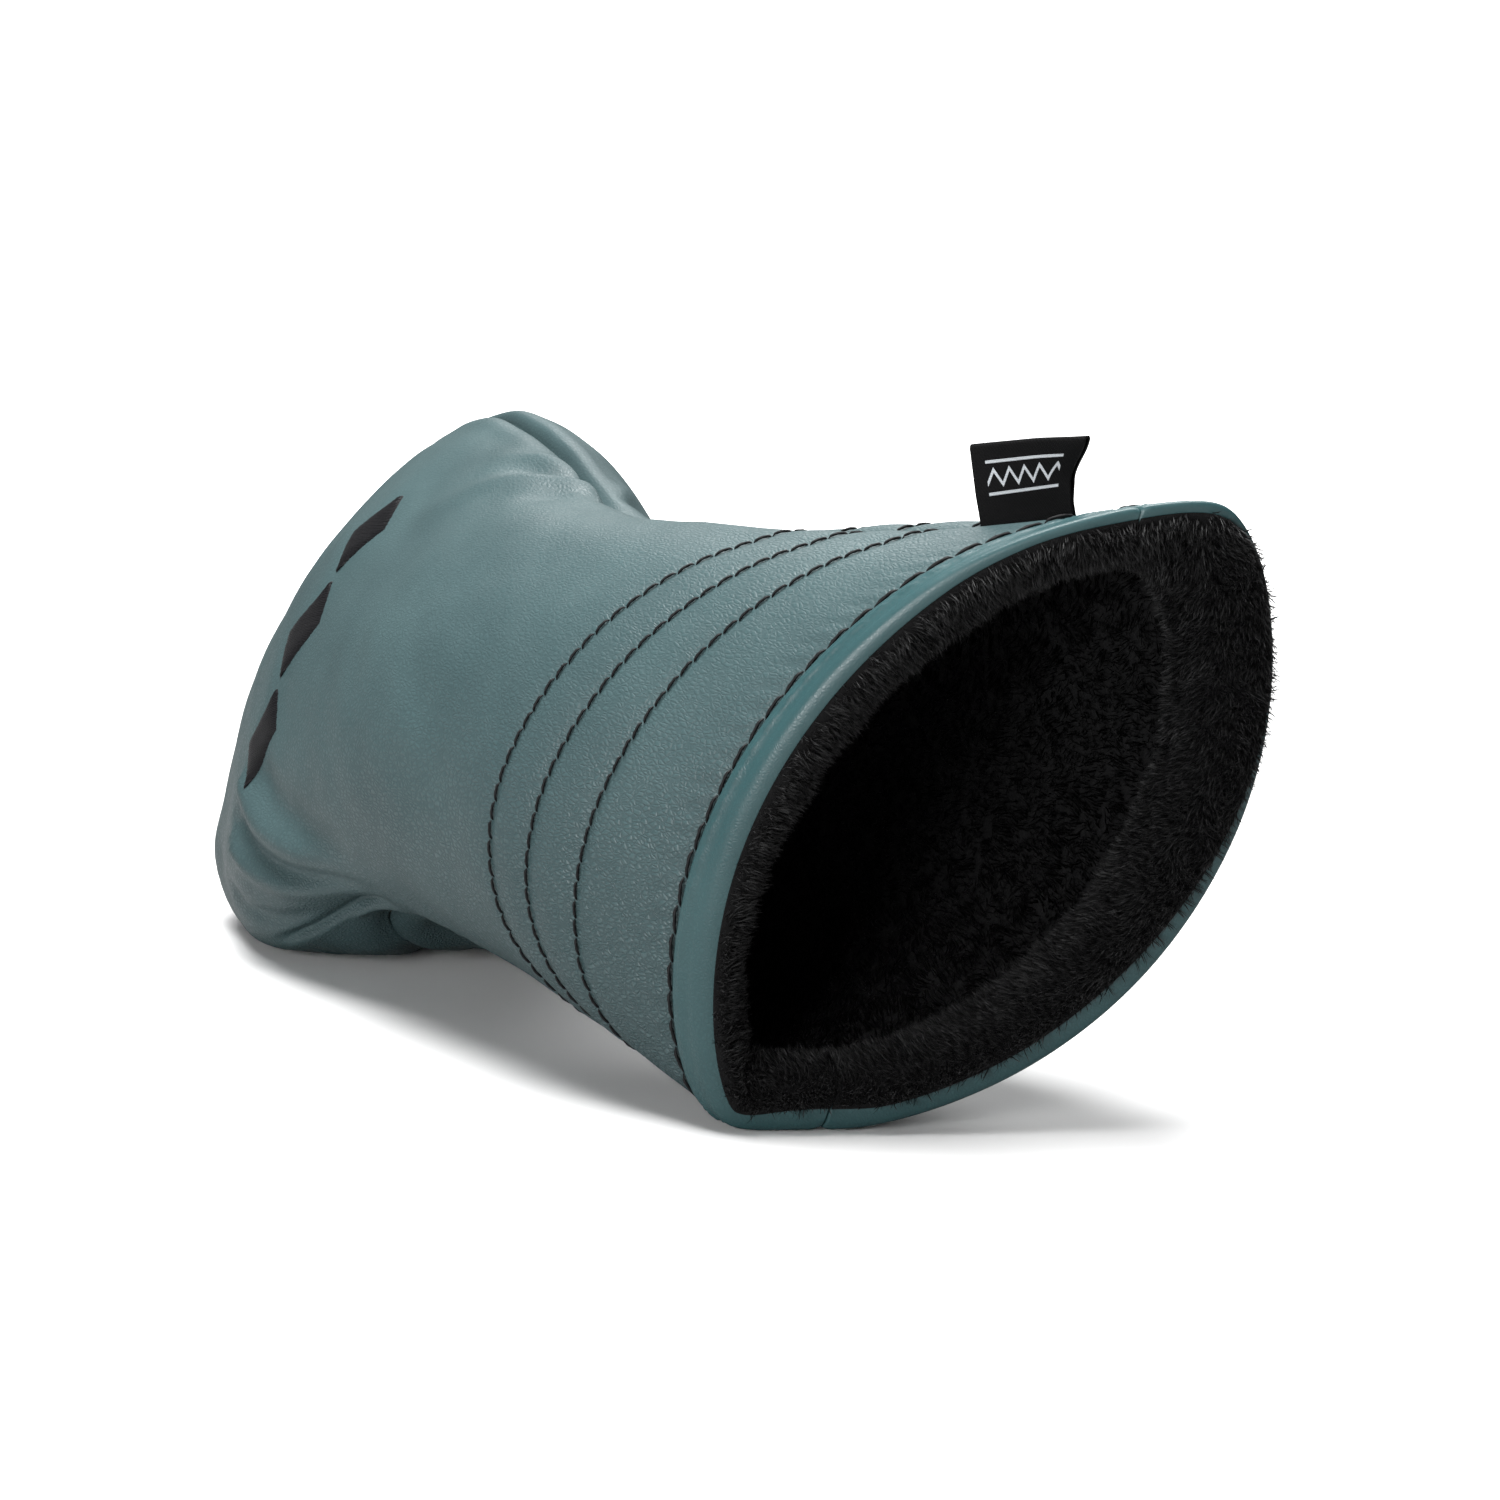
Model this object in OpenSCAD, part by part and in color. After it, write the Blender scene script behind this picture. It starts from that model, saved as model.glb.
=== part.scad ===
// Slip-on golf club head cover, lying on its side with the mouth toward +X.
// Two padded skins meet at side seams; the top seam is at 0 degrees, the front skin runs to -180,
// the back skin to 180. Millimetres, +Z up, floor at z = 0, origin under the middle of the part.

/* [Overall] */
// Length along the axis from the crown to the mouth
cover_len = 222; // [205:1:240]
// How far the mouth's edge flattens where it lies on the floor
sag = 2.5; // [1:0.1:3.5]
// Turn of the sections toward the viewer at the head
head_yaw = 14; // [0:1:20]
// Further turn of the sections, reached at the mouth
mouth_yaw = 13.4; // [0:0.1:20]
// Tip of the mouth's upper edge along the axis
mouth_pitch = 12.4; // [0:0.1:16]
// Distance from the crown where that further turn starts
bend_x = 89; // [70:1:110]

/* [Head] */
// Distance from the crown to the fullest part of the head
head_x = 60; // [50:1:75]
// Width of the head
head_w = 108.5; // [95:0.5:120]
// Depth of the head in front of its width line
head_front = 25; // [20:0.5:36]
// Depth of the head behind its width line
head_back = 46; // [34:0.5:48]
// Sideways place of the head
head_side = -9; // [-14:0.5:4]
// Lean of the head's width line from upright
head_lean = 29; // [20:1:40]
// Turn of the side seams from the ends of the width line
head_seam = -16; // [-25:1:0]
// Fullness of the head's section, 2 for an ellipse
head_full = 1.75; // [1.5:0.05:2.4]
// Fullness of the head's lower back, which slumps flat on the floor
head_slump = 6; // [2:0.1:7]
// Distance past the head over which the slump fades out
slump_fade = 30; // [20:1:45]
// Roundness of the crown seen square to the seams, 2 for an ellipse
crown_round = 2.4; // [2:0.1:3]
// Roundness of the crown seen along the seams, 1 for a wedge
crown_wedge = 1.2; // [1.1:0.05:1.8]

/* [Waist] */
// Distance from the crown to the waist
waist_x = 120; // [108:1:132]
// Width of the waist
waist_w = 78; // [66:0.5:90]
// Depth of the waist in front of its width line
waist_front = 29.5; // [24:0.5:36]
// Depth of the waist behind its width line
waist_back = 30; // [24:0.5:38]
// Sideways place of the waist
waist_side = -9.5; // [-14:0.5:4]
// Height of the waist's middle above the floor
waist_z = 50.5; // [46:0.5:58]
// Lean of the waist's width line from upright
waist_lean = 33.5; // [25:0.5:42]
// Turn of the side seams from the ends of the width line
waist_seam = -8; // [-20:1:0]
// Fullness of the waist's section
waist_full = 2.1; // [1.7:0.05:2.4]

/* [Neck] */
// Width of the neck at the first row of stitches
neck_w = 92; // [84:0.5:104]
// Depth of the neck in front of its width line
neck_front = 37; // [30:0.5:42]
// Depth of the neck behind its width line
neck_back = 41; // [32:0.5:46]
// Sideways place of the neck
neck_side = 3.5; // [-6:0.5:10]
// Height of the neck's middle above the floor
neck_z = 48.5; // [46:0.5:56]
// Lean of the neck's width line from upright
neck_lean = 46.5; // [36:0.5:54]
// Turn of the side seams from the ends of the width line
neck_seam = -39; // [-45:1:-20]
// Fullness of the neck's section
neck_full = 2.1; // [1.7:0.05:2.4]

/* [Mouth] */
// Width of the mouth
mouth_w = 121; // [108:0.5:130]
// Depth of the mouth in front of its width line
mouth_front = 31; // [28:0.5:40]
// Depth of the mouth behind its width line
mouth_back = 38; // [32:0.5:44]
// Sideways place of the mouth
mouth_side = 15.5; // [0:0.5:18]
// Lean of the mouth's width line from upright
mouth_lean = 32; // [24:0.5:44]
// Turn of the side seams from the ends of the width line
mouth_seam = -28; // [-36:1:-15]
// Fullness of the mouth's section, under 2 for an almond
mouth_full = 1.35; // [1.2:0.01:2]

/* [Skins] */
// Thickness of the outer leather
leather_t = 1.4; // [1:0.1:2]
// Thickness of the foam padding
pad_t = 2.5; // [2:0.1:4]
// Thickness of the plush lining
plush_t = 4; // [3:0.1:6]
// Gap left between one layer and the next
layer_gap = 0.2; // [0.15:0.01:0.3]
// Gap between front and back pieces at the side seams, in degrees round
seam_gap = 0.4; // [0.3:0.05:1]
// Extra thickness of the plush roll at the mouth
roll_t = 1.6; // [0.5:0.1:2.5]
// Width of the plush roll at the mouth
roll_w = 9; // [7:0.5:12]
// Depth of the groove that the edge stitch pulls behind the roll
roll_groove = 1.6; // [0.5:0.1:2.2]

/* [Binding] */
// Width of the binding on the outside of the mouth
bind_w = 5; // [4:0.1:7]
// Thickness of the binding
bind_t = 1; // [0.8:0.1:1.4]

/* [Stitching] */
// Distance from the mouth to the row nearest it
row_near = 26; // [22:0.5:30]
// Distance from the near row to the middle row
row_step_1 = 12; // [9:0.5:14]
// Distance from the middle row to the far row
row_step_2 = 11; // [9:0.5:14]
// Distance of the edge stitch behind the binding
edge_gap = 0.9; // [0.6:0.1:2]
// Thickness of the sewing thread
thread_d = 0.5; // [0.4:0.05:0.8]
// Clearance of the thread and embroidery over the leather
thread_clear = 0.15; // [0.12:0.01:0.25]

/* [Elastic] */
// Width of the waist elastic
elastic_w = 18; // [12:1:24]
// Thickness of the waist elastic
elastic_t = 1; // [0.8:0.1:1.4]

/* [Label] */
// Width of the folded label along the seam
label_w = 20; // [14:0.5:24]
// Height of the folded label over the seam
label_h = 11.5; // [8:0.5:18]
// Thickness of one layer of the label
label_t = 0.5; // [0.4:0.05:0.8]
// Gap between the two layers of the label
label_fold = 0.3; // [0.2:0.05:0.6]
// Distance from the mouth to the middle of the label
label_in = 15.5; // [14:0.5:22]
// Clearance of the label's foot over the seam
label_clear = 0.4; // [0.3:0.05:0.6]
// Tip of the label from upright
label_tip = 0; // [-10:1:10]

/* [Embroidery] */
// Number of diamonds across the front of the head
diamond_count = 3; // [1:1:4]
// Length of a diamond across the head
diamond_l = 19; // [12:0.5:22]
// Width of a diamond along the axis
diamond_w = 13; // [8:0.5:18]
// Space between two diamonds
diamond_gap = 3; // [2:0.5:6]
// Thickness of the satin stitching
satin_t = 0.5; // [0.4:0.05:0.8]
// Distance from the crown to the middle of the diamonds
diamond_x = 64; // [54:0.5:72]

/* [Hidden] */

leather_color = "#5f7b7c";
foam_color = "#d9d4c4";
plush_color = "#0d0d0e";
thread_color = "#15171a";
elastic_color = "#2a2a2c";
label_color = "#17181a";

// Stations along the axis: crown, head, waist, neck, mouth
st_x = [0, head_x, waist_x, neck_x(), cover_len];
half_w = [head_w, head_w, waist_w, neck_w, mouth_w] / 2;
front = [head_front, head_front, waist_front, neck_front, mouth_front];
back = [head_back, head_back, waist_back, neck_back, mouth_back];
side = [head_side, head_side, waist_side, neck_side, mouth_side];
lean = [head_lean, head_lean, waist_lean, neck_lean, mouth_lean];
seam = [head_seam, head_seam, waist_seam, neck_seam, mouth_seam];
full = [head_full, head_full, waist_full, neck_full, mouth_full];

// The neck station lies on the far row of stitches
function neck_x() = cover_len - row_near - row_step_1 - row_step_2;

// How far the binding stands out from the leather
proud = layer_gap + bind_t;

// Height of a station whose lowest point between two angles touches the floor
function drop(i, from, to) = max([for (a = [from:5:to]) -rise(i, a)]);
function rise(i, a) =
    half_w[i] * cos(a) * cos(lean[i])
    - (sin(a) < 0 ? front[i] : back[i]) * bulge(sin(a), full[i]) * sin(lean[i]);
height = [drop(1, 180, 270), drop(1, 180, 270), waist_z, neck_z, drop(4, 90, 270) + proud - sag];

// Depth of each layer's faces below the outside of the leather
leather_in = leather_t;
pad_out = leather_in + layer_gap;
pad_in = pad_out + pad_t;
plush_out = pad_in + layer_gap;
plush_in = plush_out + plush_t;

// Distances along the axis of the grid that all layers share
crown_start = 0.15;
crown_steps = 8;
side_steps = 4;
seg = 10;
band_a = waist_x - elastic_w / 2;
band_b = waist_x + elastic_w / 2;
roll_x = cover_len - roll_w;
edge_x = cover_len - bind_w - edge_gap;
crown_x = [for (i = [0:crown_steps - 1]) max(crown_start, head_x * (1 - cos(i * 90 / crown_steps)))];
flank_x = [for (i = [0:side_steps - 1]) head_x + (band_a - head_x) * i / side_steps];
flare_x = [for (i = [0:side_steps - 1]) band_b + (neck_x() - band_b) * i / side_steps];
row_x = [neck_x(), neck_x() + row_step_2, cover_len - row_near];
grid_x = concat(crown_x, flank_x, [band_a, waist_x], flare_x, row_x, [roll_x - 2 * edge_gap, edge_x]);

front_t = round_steps(-180 + seam_gap, -seam_gap);
back_t = round_steps(seam_gap, 180 - seam_gap);
ring_t = [for (t = [0:seg:359]) t];
function round_steps(a, b) = [for (i = [0:180 / seg]) a + (b - a) * i * seg / 180];

// Smooth curve through the five station values
function slope(v, i) =
    i == 0 ? 0
    : i == 4 ? (v[4] - v[3]) / (st_x[4] - st_x[3])
    : (v[i + 1] - v[i - 1]) / (st_x[i + 1] - st_x[i - 1]);
function station(x) = x < st_x[1] ? 0 : x < st_x[2] ? 1 : x < st_x[3] ? 2 : 3;
function along(v, x) =
    let (i = station(x), w = st_x[i + 1] - st_x[i], t = (x - st_x[i]) / w)
    v[i] * (2 * t ^ 3 - 3 * t ^ 2 + 1) + slope(v, i) * w * (t ^ 3 - 2 * t ^ 2 + t)
    + v[i + 1] * (3 * t ^ 2 - 2 * t ^ 3) + slope(v, i + 1) * w * (t ^ 3 - t ^ 2);

// Swell of a section's half depth, sharp at the corners where the fullness is under 2
function bulge(s, n) = sign(s) * pow(abs(s), 2 / n);

// Closing of the crown, from 0 at its tip to 1 at the head
function closing(t, p) = pow(1 - pow(1 - max(0, min(1, t)), p), 1 / p);

// Share of the way from one distance to another, and the same eased at both ends
function share(x, a, b) = max(0, min(1, (x - a) / (b - a)));
function eased(t) = t * t * (3 - 2 * t);

// Fullness of the lower back, which slumps at the head
function low_full(x) =
    let (left = 1 - eased(share(x, head_x, head_x + slump_fade)))
    along(full, x) + (head_slump - head_full) * left;

// Point at x along the axis and t degrees round from the top seam, d below the outside of the leather
function spot(x, t, d) =
    let (
        dome = (x - d) / (head_x - d),
        a = (along(half_w, x) - d) * closing(dome, crown_round),
        ang = t + along(seam, x),
        b = (along(sin(ang) < 0 ? front : back, x) - d) * closing(dome, crown_wedge),
        p = a * cos(ang),
        low_back = sin(ang) > 0 && cos(ang) < 0,
        q = b * bulge(sin(ang), low_back ? low_full(x) : along(full, x)),
        tilt = along(lean, x),
        h = p * sin(tilt) + q * cos(tilt),
        k = p * cos(tilt) - q * sin(tilt),
        turn = share(x, bend_x, cover_len),
        yaw = head_yaw + mouth_yaw * turn,
        pitch = mouth_pitch * turn,
        lift = proud * share(x, waist_x, neck_x())
    )
    [
        x + h * sin(yaw) + k * sin(pitch),
        along(side, x) + h * cos(yaw),
        max(along(height, x) + k * cos(pitch), d + lift)
    ];

// Grid distance of a deeper layer, which starts later at the crown
function deeper(x, d) = x < head_x && d > 0 ? d + x * (head_x - d) / head_x : x;

// Box that the outside fills, used to centre the part
outside = [for (x = concat(grid_x, [cover_len + layer_gap])) for (t = ring_t) spot(x, t, 0)];
lip = [for (t = ring_t) spot(cover_len, t, -proud)];
edge_pts = concat(outside, lip);
mid = [for (i = [0:1]) (max([for (p = edge_pts) p[i]]) + min([for (p = edge_pts) p[i]])) / 2];

// One row of a skin: outer distance and depth, inner distance and depth
function plain_rows(d_out, d_in, x_end) =
    [for (x = concat(grid_x, [x_end])) [deeper(x, d_out), d_out, deeper(x, d_in), d_in]];

// Triangles of a closed shell whose points are an outer grid of m rows of n, then an inner one
function shell_faces(m, n) =
    let (sheet = grid_faces(m, n), rim = grid_rim(m, n), last = len(rim) - 1, far = m * n)
    concat(
        sheet,
        [for (f = sheet) [f[2] + far, f[1] + far, f[0] + far]],
        [for (i = [0:last])
            let (a = rim[i], b = rim[i == last ? 0 : i + 1])
            each quad(b, a, a + far, b + far)]
    );
function grid_faces(m, n) =
    [for (i = [0:m - 2]) for (j = [0:n - 2])
        let (a = i * n + j)
        each quad(a, a + 1, a + n + 1, a + n)];
function grid_rim(m, n) =
    concat(
        [for (j = [0:n - 2]) j],
        [for (i = [0:m - 2]) i * n + n - 1],
        [for (j = [n - 1:-1:1]) (m - 1) * n + j],
        [for (i = [m - 1:-1:1]) i * n]
    );
function quad(a, b, c, d) = [[a, b, c], [a, c, d]];

// Closed solid between an outer and an inner sheet over the same rows and angles
module skin(rows, ts)
{
    outer = [for (r = rows) for (t = ts) spot(r[0], t, r[1])];
    inner = [for (r = rows) for (t = ts) spot(r[2], t, r[3])];
    polyhedron(concat(outer, inner), shell_faces(len(rows), len(ts)));
}

// Thread lying round the cover at x, four-sided, just over the leather
module thread_ring(x)
{
    n = len(ring_t);
    r = thread_d / 2;
    over = thread_clear + r;
    section = [[-r, -over], [0, -over - r], [r, -over], [0, -thread_clear]];
    polyhedron(
        [for (t = ring_t) for (s = section) spot(x + s[0], t, s[1])],
        [for (j = [0:n - 1]) for (k = [0:3])
            let (a = j * 4, b = (j + 1) % n * 4, next = (k + 1) % 4)
            each quad(a + k, b + k, b + next, a + next)]
    );
}

// Places the lying cover with its middle over the origin
module placed()
{
    translate([-mid[0], -mid[1], 0])
        children();
}

module front_panel()
{
    color(leather_color) placed() skin(plain_rows(0, leather_in, cover_len), front_t);
}

module back_panel()
{
    color(leather_color) placed() skin(plain_rows(0, leather_in, cover_len), back_t);
}

module front_padding()
{
    color(foam_color) placed() skin(plain_rows(pad_out, pad_in, cover_len), front_t);
}

// The back padding is thinner where the elastic lies against it
module back_padding()
{
    thin = pad_in - elastic_t - layer_gap;
    bed = [
        [band_a - 2 * layer_gap, pad_in],
        [band_a - layer_gap, thin],
        [waist_x, thin],
        [band_b + layer_gap, thin],
        [band_b + 2 * layer_gap, pad_in]
    ];
    rows = plain_rows(pad_out, pad_in, cover_len);
    color(foam_color) placed() skin(
        concat(
            [for (r = rows) if (r[0] < band_a - 3 * layer_gap) r],
            [for (s = bed) [s[0], pad_out, s[0], s[1]]],
            [for (r = rows) if (r[0] > band_b + 3 * layer_gap) r]
        ),
        back_t
    );
}

// Plush with a groove and a thicker roll where it turns out at the mouth
function lining_rows() =
    let (
        end_x = cover_len + layer_gap + bind_t,
        body = [for (r = plain_rows(plush_out, plush_in, cover_len)) if (r[2] < roll_x - 3 * edge_gap) r],
        roll = [
            [roll_x - 2 * edge_gap, plush_in],
            [roll_x - edge_gap, plush_in - roll_groove],
            [roll_x, plush_in + roll_t / 2],
            [cover_len - roll_w / 2, plush_in + roll_t],
            [cover_len, plush_in + roll_t / 2],
            [end_x, plush_out + plush_t / 2]
        ]
    )
    concat(body, [for (r = roll) [r[0], plush_out, r[0], r[1]]]);

module front_lining()
{
    color(plush_color) placed() skin(lining_rows(), front_t);
}

module back_lining()
{
    color(plush_color) placed() skin(lining_rows(), back_t);
}

// Leather strip folded over the raw edges of panel and padding
function binding_rows() =
    let (a = cover_len + layer_gap, c = a + bind_t)
    [
        [cover_len - bind_w, -proud, cover_len - bind_w, -layer_gap],
        [cover_len - bind_w / 2, -proud, cover_len - bind_w / 2, -layer_gap],
        [cover_len, -proud, a, -layer_gap],
        [c - bind_t / 4, -layer_gap - bind_t / 2, a, 0],
        [c, leather_in / 2, a, leather_in / 2],
        [c, pad_in, a, pad_in]
    ];

module front_binding()
{
    color(leather_color) placed() skin(binding_rows(), front_t);
}

module back_binding()
{
    color(leather_color) placed() skin(binding_rows(), back_t);
}

// Band against the back padding that draws the waist in
module waist_elastic()
{
    color(elastic_color) placed() skin(
        [for (x = [band_a, waist_x, band_b]) [x, pad_in - elastic_t, x, pad_in]],
        back_t
    );
}

// Line over the top seam that the label bends about, and the turns that follow it
label_thick = 2 * label_t + label_fold;
label_x = cover_len - label_in;
label_a = spot(label_x - label_w / 2, 0, -label_clear - label_thick / 2);
label_b = spot(label_x + label_w / 2, 0, -label_clear - label_thick / 2);
label_mid = (label_a + label_b) / 2;
label_dir = (label_b - label_a) / norm(label_b - label_a);
label_turn = [label_tip, -asin(label_dir[2]), atan2(label_dir[1], label_dir[0])];
echo(hinge_at = label_mid - [mid[0], mid[1], 0], hinge_axis = label_dir);

// Woven strip folded double, its fold at the top and its sewn foot round about the bending line
module label_tab()
{
    color(label_color) placed() translate(label_mid) rotate(label_turn) rotate([90, 0, 90])
        translate([0, 0, -label_w / 2]) linear_extrude(label_w) difference() {
            union() {
                circle(d = label_thick, $fn = 32);
                translate([-label_thick / 2, 0]) square([label_thick, label_h]);
            }
            translate([-label_fold / 2, label_t]) square([label_fold, label_h - 2 * label_t]);
        }
}

module row_thread_far()
{
    color(thread_color) placed() thread_ring(row_x[0]);
}

module row_thread_middle()
{
    color(thread_color) placed() thread_ring(row_x[1]);
}

module row_thread_near()
{
    color(thread_color) placed() thread_ring(row_x[2]);
}

module edge_thread()
{
    color(thread_color) placed() thread_ring(edge_x);
}

// Row of satin-stitched diamonds across the front of the head
module crown_embroidery()
{
    arc = 180 / (PI * head_w / 2);
    pitch = diamond_l + diamond_gap;
    color(thread_color) placed()
        for (i = [0:diamond_count - 1])
            diamond(-90 - head_seam + (i - (diamond_count - 1) / 2) * pitch * arc, diamond_l * arc);
}

// One raised diamond, its grid running along its own sides
module diamond(t_mid, t_len)
{
    n = 4;
    low = -thread_clear;
    grid = [for (i = [0:n]) for (j = [0:n])
        [diamond_x + (i - j) / (2 * n) * diamond_w, t_mid + ((i + j) / (2 * n) - 0.5) * t_len]];
    top = [for (g = grid) spot(g[0], g[1], low - satin_t)];
    base = [for (g = grid) spot(g[0], g[1], low)];
    polyhedron(concat(top, base), shell_faces(n + 1, n + 1));
}

front_panel();
back_panel();
front_padding();
back_padding();
front_lining();
back_lining();
front_binding();
back_binding();
waist_elastic();
label_tab();
row_thread_far();
row_thread_middle();
row_thread_near();
edge_thread();
crown_embroidery();
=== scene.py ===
import math

import bpy
import numpy as np
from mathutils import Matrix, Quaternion, Vector


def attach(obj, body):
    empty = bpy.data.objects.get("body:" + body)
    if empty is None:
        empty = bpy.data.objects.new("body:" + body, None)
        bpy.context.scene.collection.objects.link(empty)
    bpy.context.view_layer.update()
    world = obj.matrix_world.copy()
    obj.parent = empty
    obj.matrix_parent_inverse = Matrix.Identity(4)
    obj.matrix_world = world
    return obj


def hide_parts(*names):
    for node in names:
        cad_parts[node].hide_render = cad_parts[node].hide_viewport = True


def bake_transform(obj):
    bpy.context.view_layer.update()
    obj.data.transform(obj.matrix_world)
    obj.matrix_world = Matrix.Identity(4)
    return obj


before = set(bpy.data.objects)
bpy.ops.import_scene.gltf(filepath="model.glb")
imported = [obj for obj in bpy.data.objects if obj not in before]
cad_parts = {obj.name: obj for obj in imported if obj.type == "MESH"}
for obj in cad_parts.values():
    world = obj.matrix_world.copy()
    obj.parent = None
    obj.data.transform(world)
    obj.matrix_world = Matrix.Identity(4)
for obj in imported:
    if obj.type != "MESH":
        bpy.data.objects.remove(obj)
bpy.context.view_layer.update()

mm = 0.001

# the cover's surface, the same named values as the part's source, in mm and degrees
coverShape = {
    "coverLen": 222.0, "sag": 2.5, "headYaw": 14.0, "mouthYaw": 13.4, "mouthPitch": 12.4, "bendX": 89.0,
    "headX": 60.0, "headW": 108.5, "headFront": 25.0, "headBack": 46.0, "headSide": -9.0, "headLean": 29.0,
    "headSeam": -16.0, "headFull": 1.75, "headSlump": 6.0, "slumpFade": 30.0, "crownRound": 2.4, "crownWedge": 1.2,
    "waistX": 120.0, "waistW": 78.0, "waistFront": 29.5, "waistBack": 30.0, "waistSide": -9.5, "waistZ": 50.5,
    "waistLean": 33.5, "waistSeam": -8.0, "waistFull": 2.1,
    "neckW": 92.0, "neckFront": 37.0, "neckBack": 41.0, "neckSide": 3.5, "neckZ": 48.5,
    "neckLean": 46.5, "neckSeam": -39.0, "neckFull": 2.1,
    "mouthW": 121.0, "mouthFront": 31.0, "mouthBack": 38.0, "mouthSide": 15.5,
    "mouthLean": 32.0, "mouthSeam": -28.0, "mouthFull": 1.35,
    "leatherT": 1.4, "padT": 2.5, "plushT": 4.0, "layerGap": 0.2, "proud": 1.2,
    "rowNear": 26.0, "rowStep1": 12.0, "rowStep2": 11.0, "bindW": 5.0, "edgeGap": 0.9,
    "rollT": 1.6, "rollW": 9.0, "rollGroove": 1.6, "elasticW": 18.0, "elasticT": 1.0,
    "middle": (124.145, 6.24881),
}
cs = coverShape
neckX = cs["coverLen"] - cs["rowNear"] - cs["rowStep1"] - cs["rowStep2"]
edgeX = cs["coverLen"] - cs["bindW"] - cs["edgeGap"]
stationX = np.array([0.0, cs["headX"], cs["waistX"], neckX, cs["coverLen"]])
padOut = cs["leatherT"] + cs["layerGap"]
padIn = padOut + cs["padT"]
plushOut = padIn + cs["layerGap"]
plushIn = plushOut + cs["plushT"]

floorGive = {"soft": 3.0, "less": 2.3}  # how softly the leather meets the floor, and less so at the mouth, mm
mouthReach = (150.0, 222.0)  # where the mouth's own form begins and is full


def stationValues(name):
    return np.array([cs[part + name] for part in ("head", "head", "waist", "neck", "mouth")])


halfW = stationValues("W") / 2
frontDepth, backDepth = stationValues("Front"), stationValues("Back")
sideShift, leanTurn = stationValues("Side"), stationValues("Lean")
seamTurn, fullness = stationValues("Seam"), stationValues("Full")


def bulge(s, n):
    return np.sign(s) * np.abs(s) ** (2 / n)


def share(v, a, b):
    return np.clip((v - a) / (b - a), 0, 1)


def eased(v):
    return v * v * (3 - 2 * v)


def ramp(v, a, b):
    return eased(share(v, a, b))


def hump(v, width):
    return np.exp(-((v / width) ** 2))


def unit(v):
    return v / np.linalg.norm(v, axis=-1, keepdims=True)


def dropOf(i, start, stop):  # height of a station that just touches the floor
    a = np.radians(np.arange(start, stop + 1, 5.0))
    lean = math.radians(leanTurn[i])
    depth = np.where(np.sin(a) < 0, frontDepth[i], backDepth[i]) * bulge(np.sin(a), fullness[i])
    return np.max(depth * math.sin(lean) - halfW[i] * np.cos(a) * math.cos(lean))


headZ = dropOf(1, 180, 270)
stationZ = np.array([headZ, headZ, cs["waistZ"], cs["neckZ"], dropOf(4, 90, 270) + cs["proud"] - cs["sag"]])


def along(values, x):  # smooth curve through the five stations
    slope = np.r_[0.0, (values[2:] - values[:-2]) / (stationX[2:] - stationX[:-2]),
                  (values[4] - values[3]) / (stationX[4] - stationX[3])]
    i = np.clip(np.searchsorted(stationX, x, side="right") - 1, 0, 3)
    w = stationX[i + 1] - stationX[i]
    t = (x - stationX[i]) / w
    return (values[i] * (2 * t**3 - 3 * t**2 + 1) + slope[i] * w * (t**3 - 2 * t**2 + t)
            + values[i + 1] * (3 * t**2 - 2 * t**3) + slope[i + 1] * w * (t**3 - t**2))


def floorUnder(x, d):  # lowest height a layer may take
    return d + cs["proud"] * share(x, cs["waistX"], neckX)


def coverPoint(x, t, d=0.0):  # x from the crown, t degrees from the top seam, d below the leather's face
    x, t, d = np.broadcast_arrays(np.asarray(x, float), np.asarray(t, float), np.asarray(d, float))
    dome = np.clip((x - d) / (cs["headX"] - d), 0, 1)
    closing = lambda p: np.clip(1 - (1 - dome) ** p, 0, 1) ** (1 / p)
    ang = np.radians(t + along(seamTurn, x))
    s, c = np.sin(ang), np.cos(ang)
    a = (along(halfW, x) - d) * closing(cs["crownRound"])
    b = (np.where(s < 0, along(frontDepth, x), along(backDepth, x)) - d) * closing(cs["crownWedge"])
    full = along(fullness, x)
    slump = full + (cs["headSlump"] - cs["headFull"]) * (1 - ramp(x, cs["headX"], cs["headX"] + cs["slumpFade"]))
    p = a * c
    q = b * bulge(s, np.where((s > 0) & (c < 0), slump, full))
    tilt = np.radians(along(leanTurn, x))
    h = p * np.sin(tilt) + q * np.cos(tilt)
    k = p * np.cos(tilt) - q * np.sin(tilt)
    turn = share(x, cs["bendX"], cs["coverLen"])
    yaw = np.radians(cs["headYaw"] + cs["mouthYaw"] * turn)
    pitch = np.radians(cs["mouthPitch"] * turn)
    low = floorUnder(x, d)
    above = along(stationZ, x) + k * np.cos(pitch) - low
    give = floorGive["soft"] - floorGive["less"] * ramp(x, *mouthReach)
    z = low + (above + np.sqrt(above**2 + give**2)) / 2
    return np.stack([x + h * np.sin(yaw) + k * np.sin(pitch) - cs["middle"][0],
                     along(sideShift, x) + h * np.cos(yaw) - cs["middle"][1], z], -1)


def outward(x, t):  # unit normals of the plain surface
    x, t = np.broadcast_arrays(np.asarray(x, float), np.asarray(t, float))
    dx = coverPoint(x + 0.4, t) - coverPoint(np.maximum(x - 0.4, 0.02), t)
    dt = coverPoint(x, t + 0.6) - coverPoint(x, t - 0.6)
    n = np.cross(dx, dt)
    return n / np.maximum(np.linalg.norm(n, axis=-1, keepdims=True), 1e-9)


def ringLength(x):  # arc length round the cover from the top seam, for t from -180 to 180
    t = np.linspace(-180, 180, 1441)
    p = coverPoint(x, t)
    s = np.r_[0, np.cumsum(np.linalg.norm(np.diff(p, axis=0), axis=1))]
    return t, s - s[720]


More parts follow.
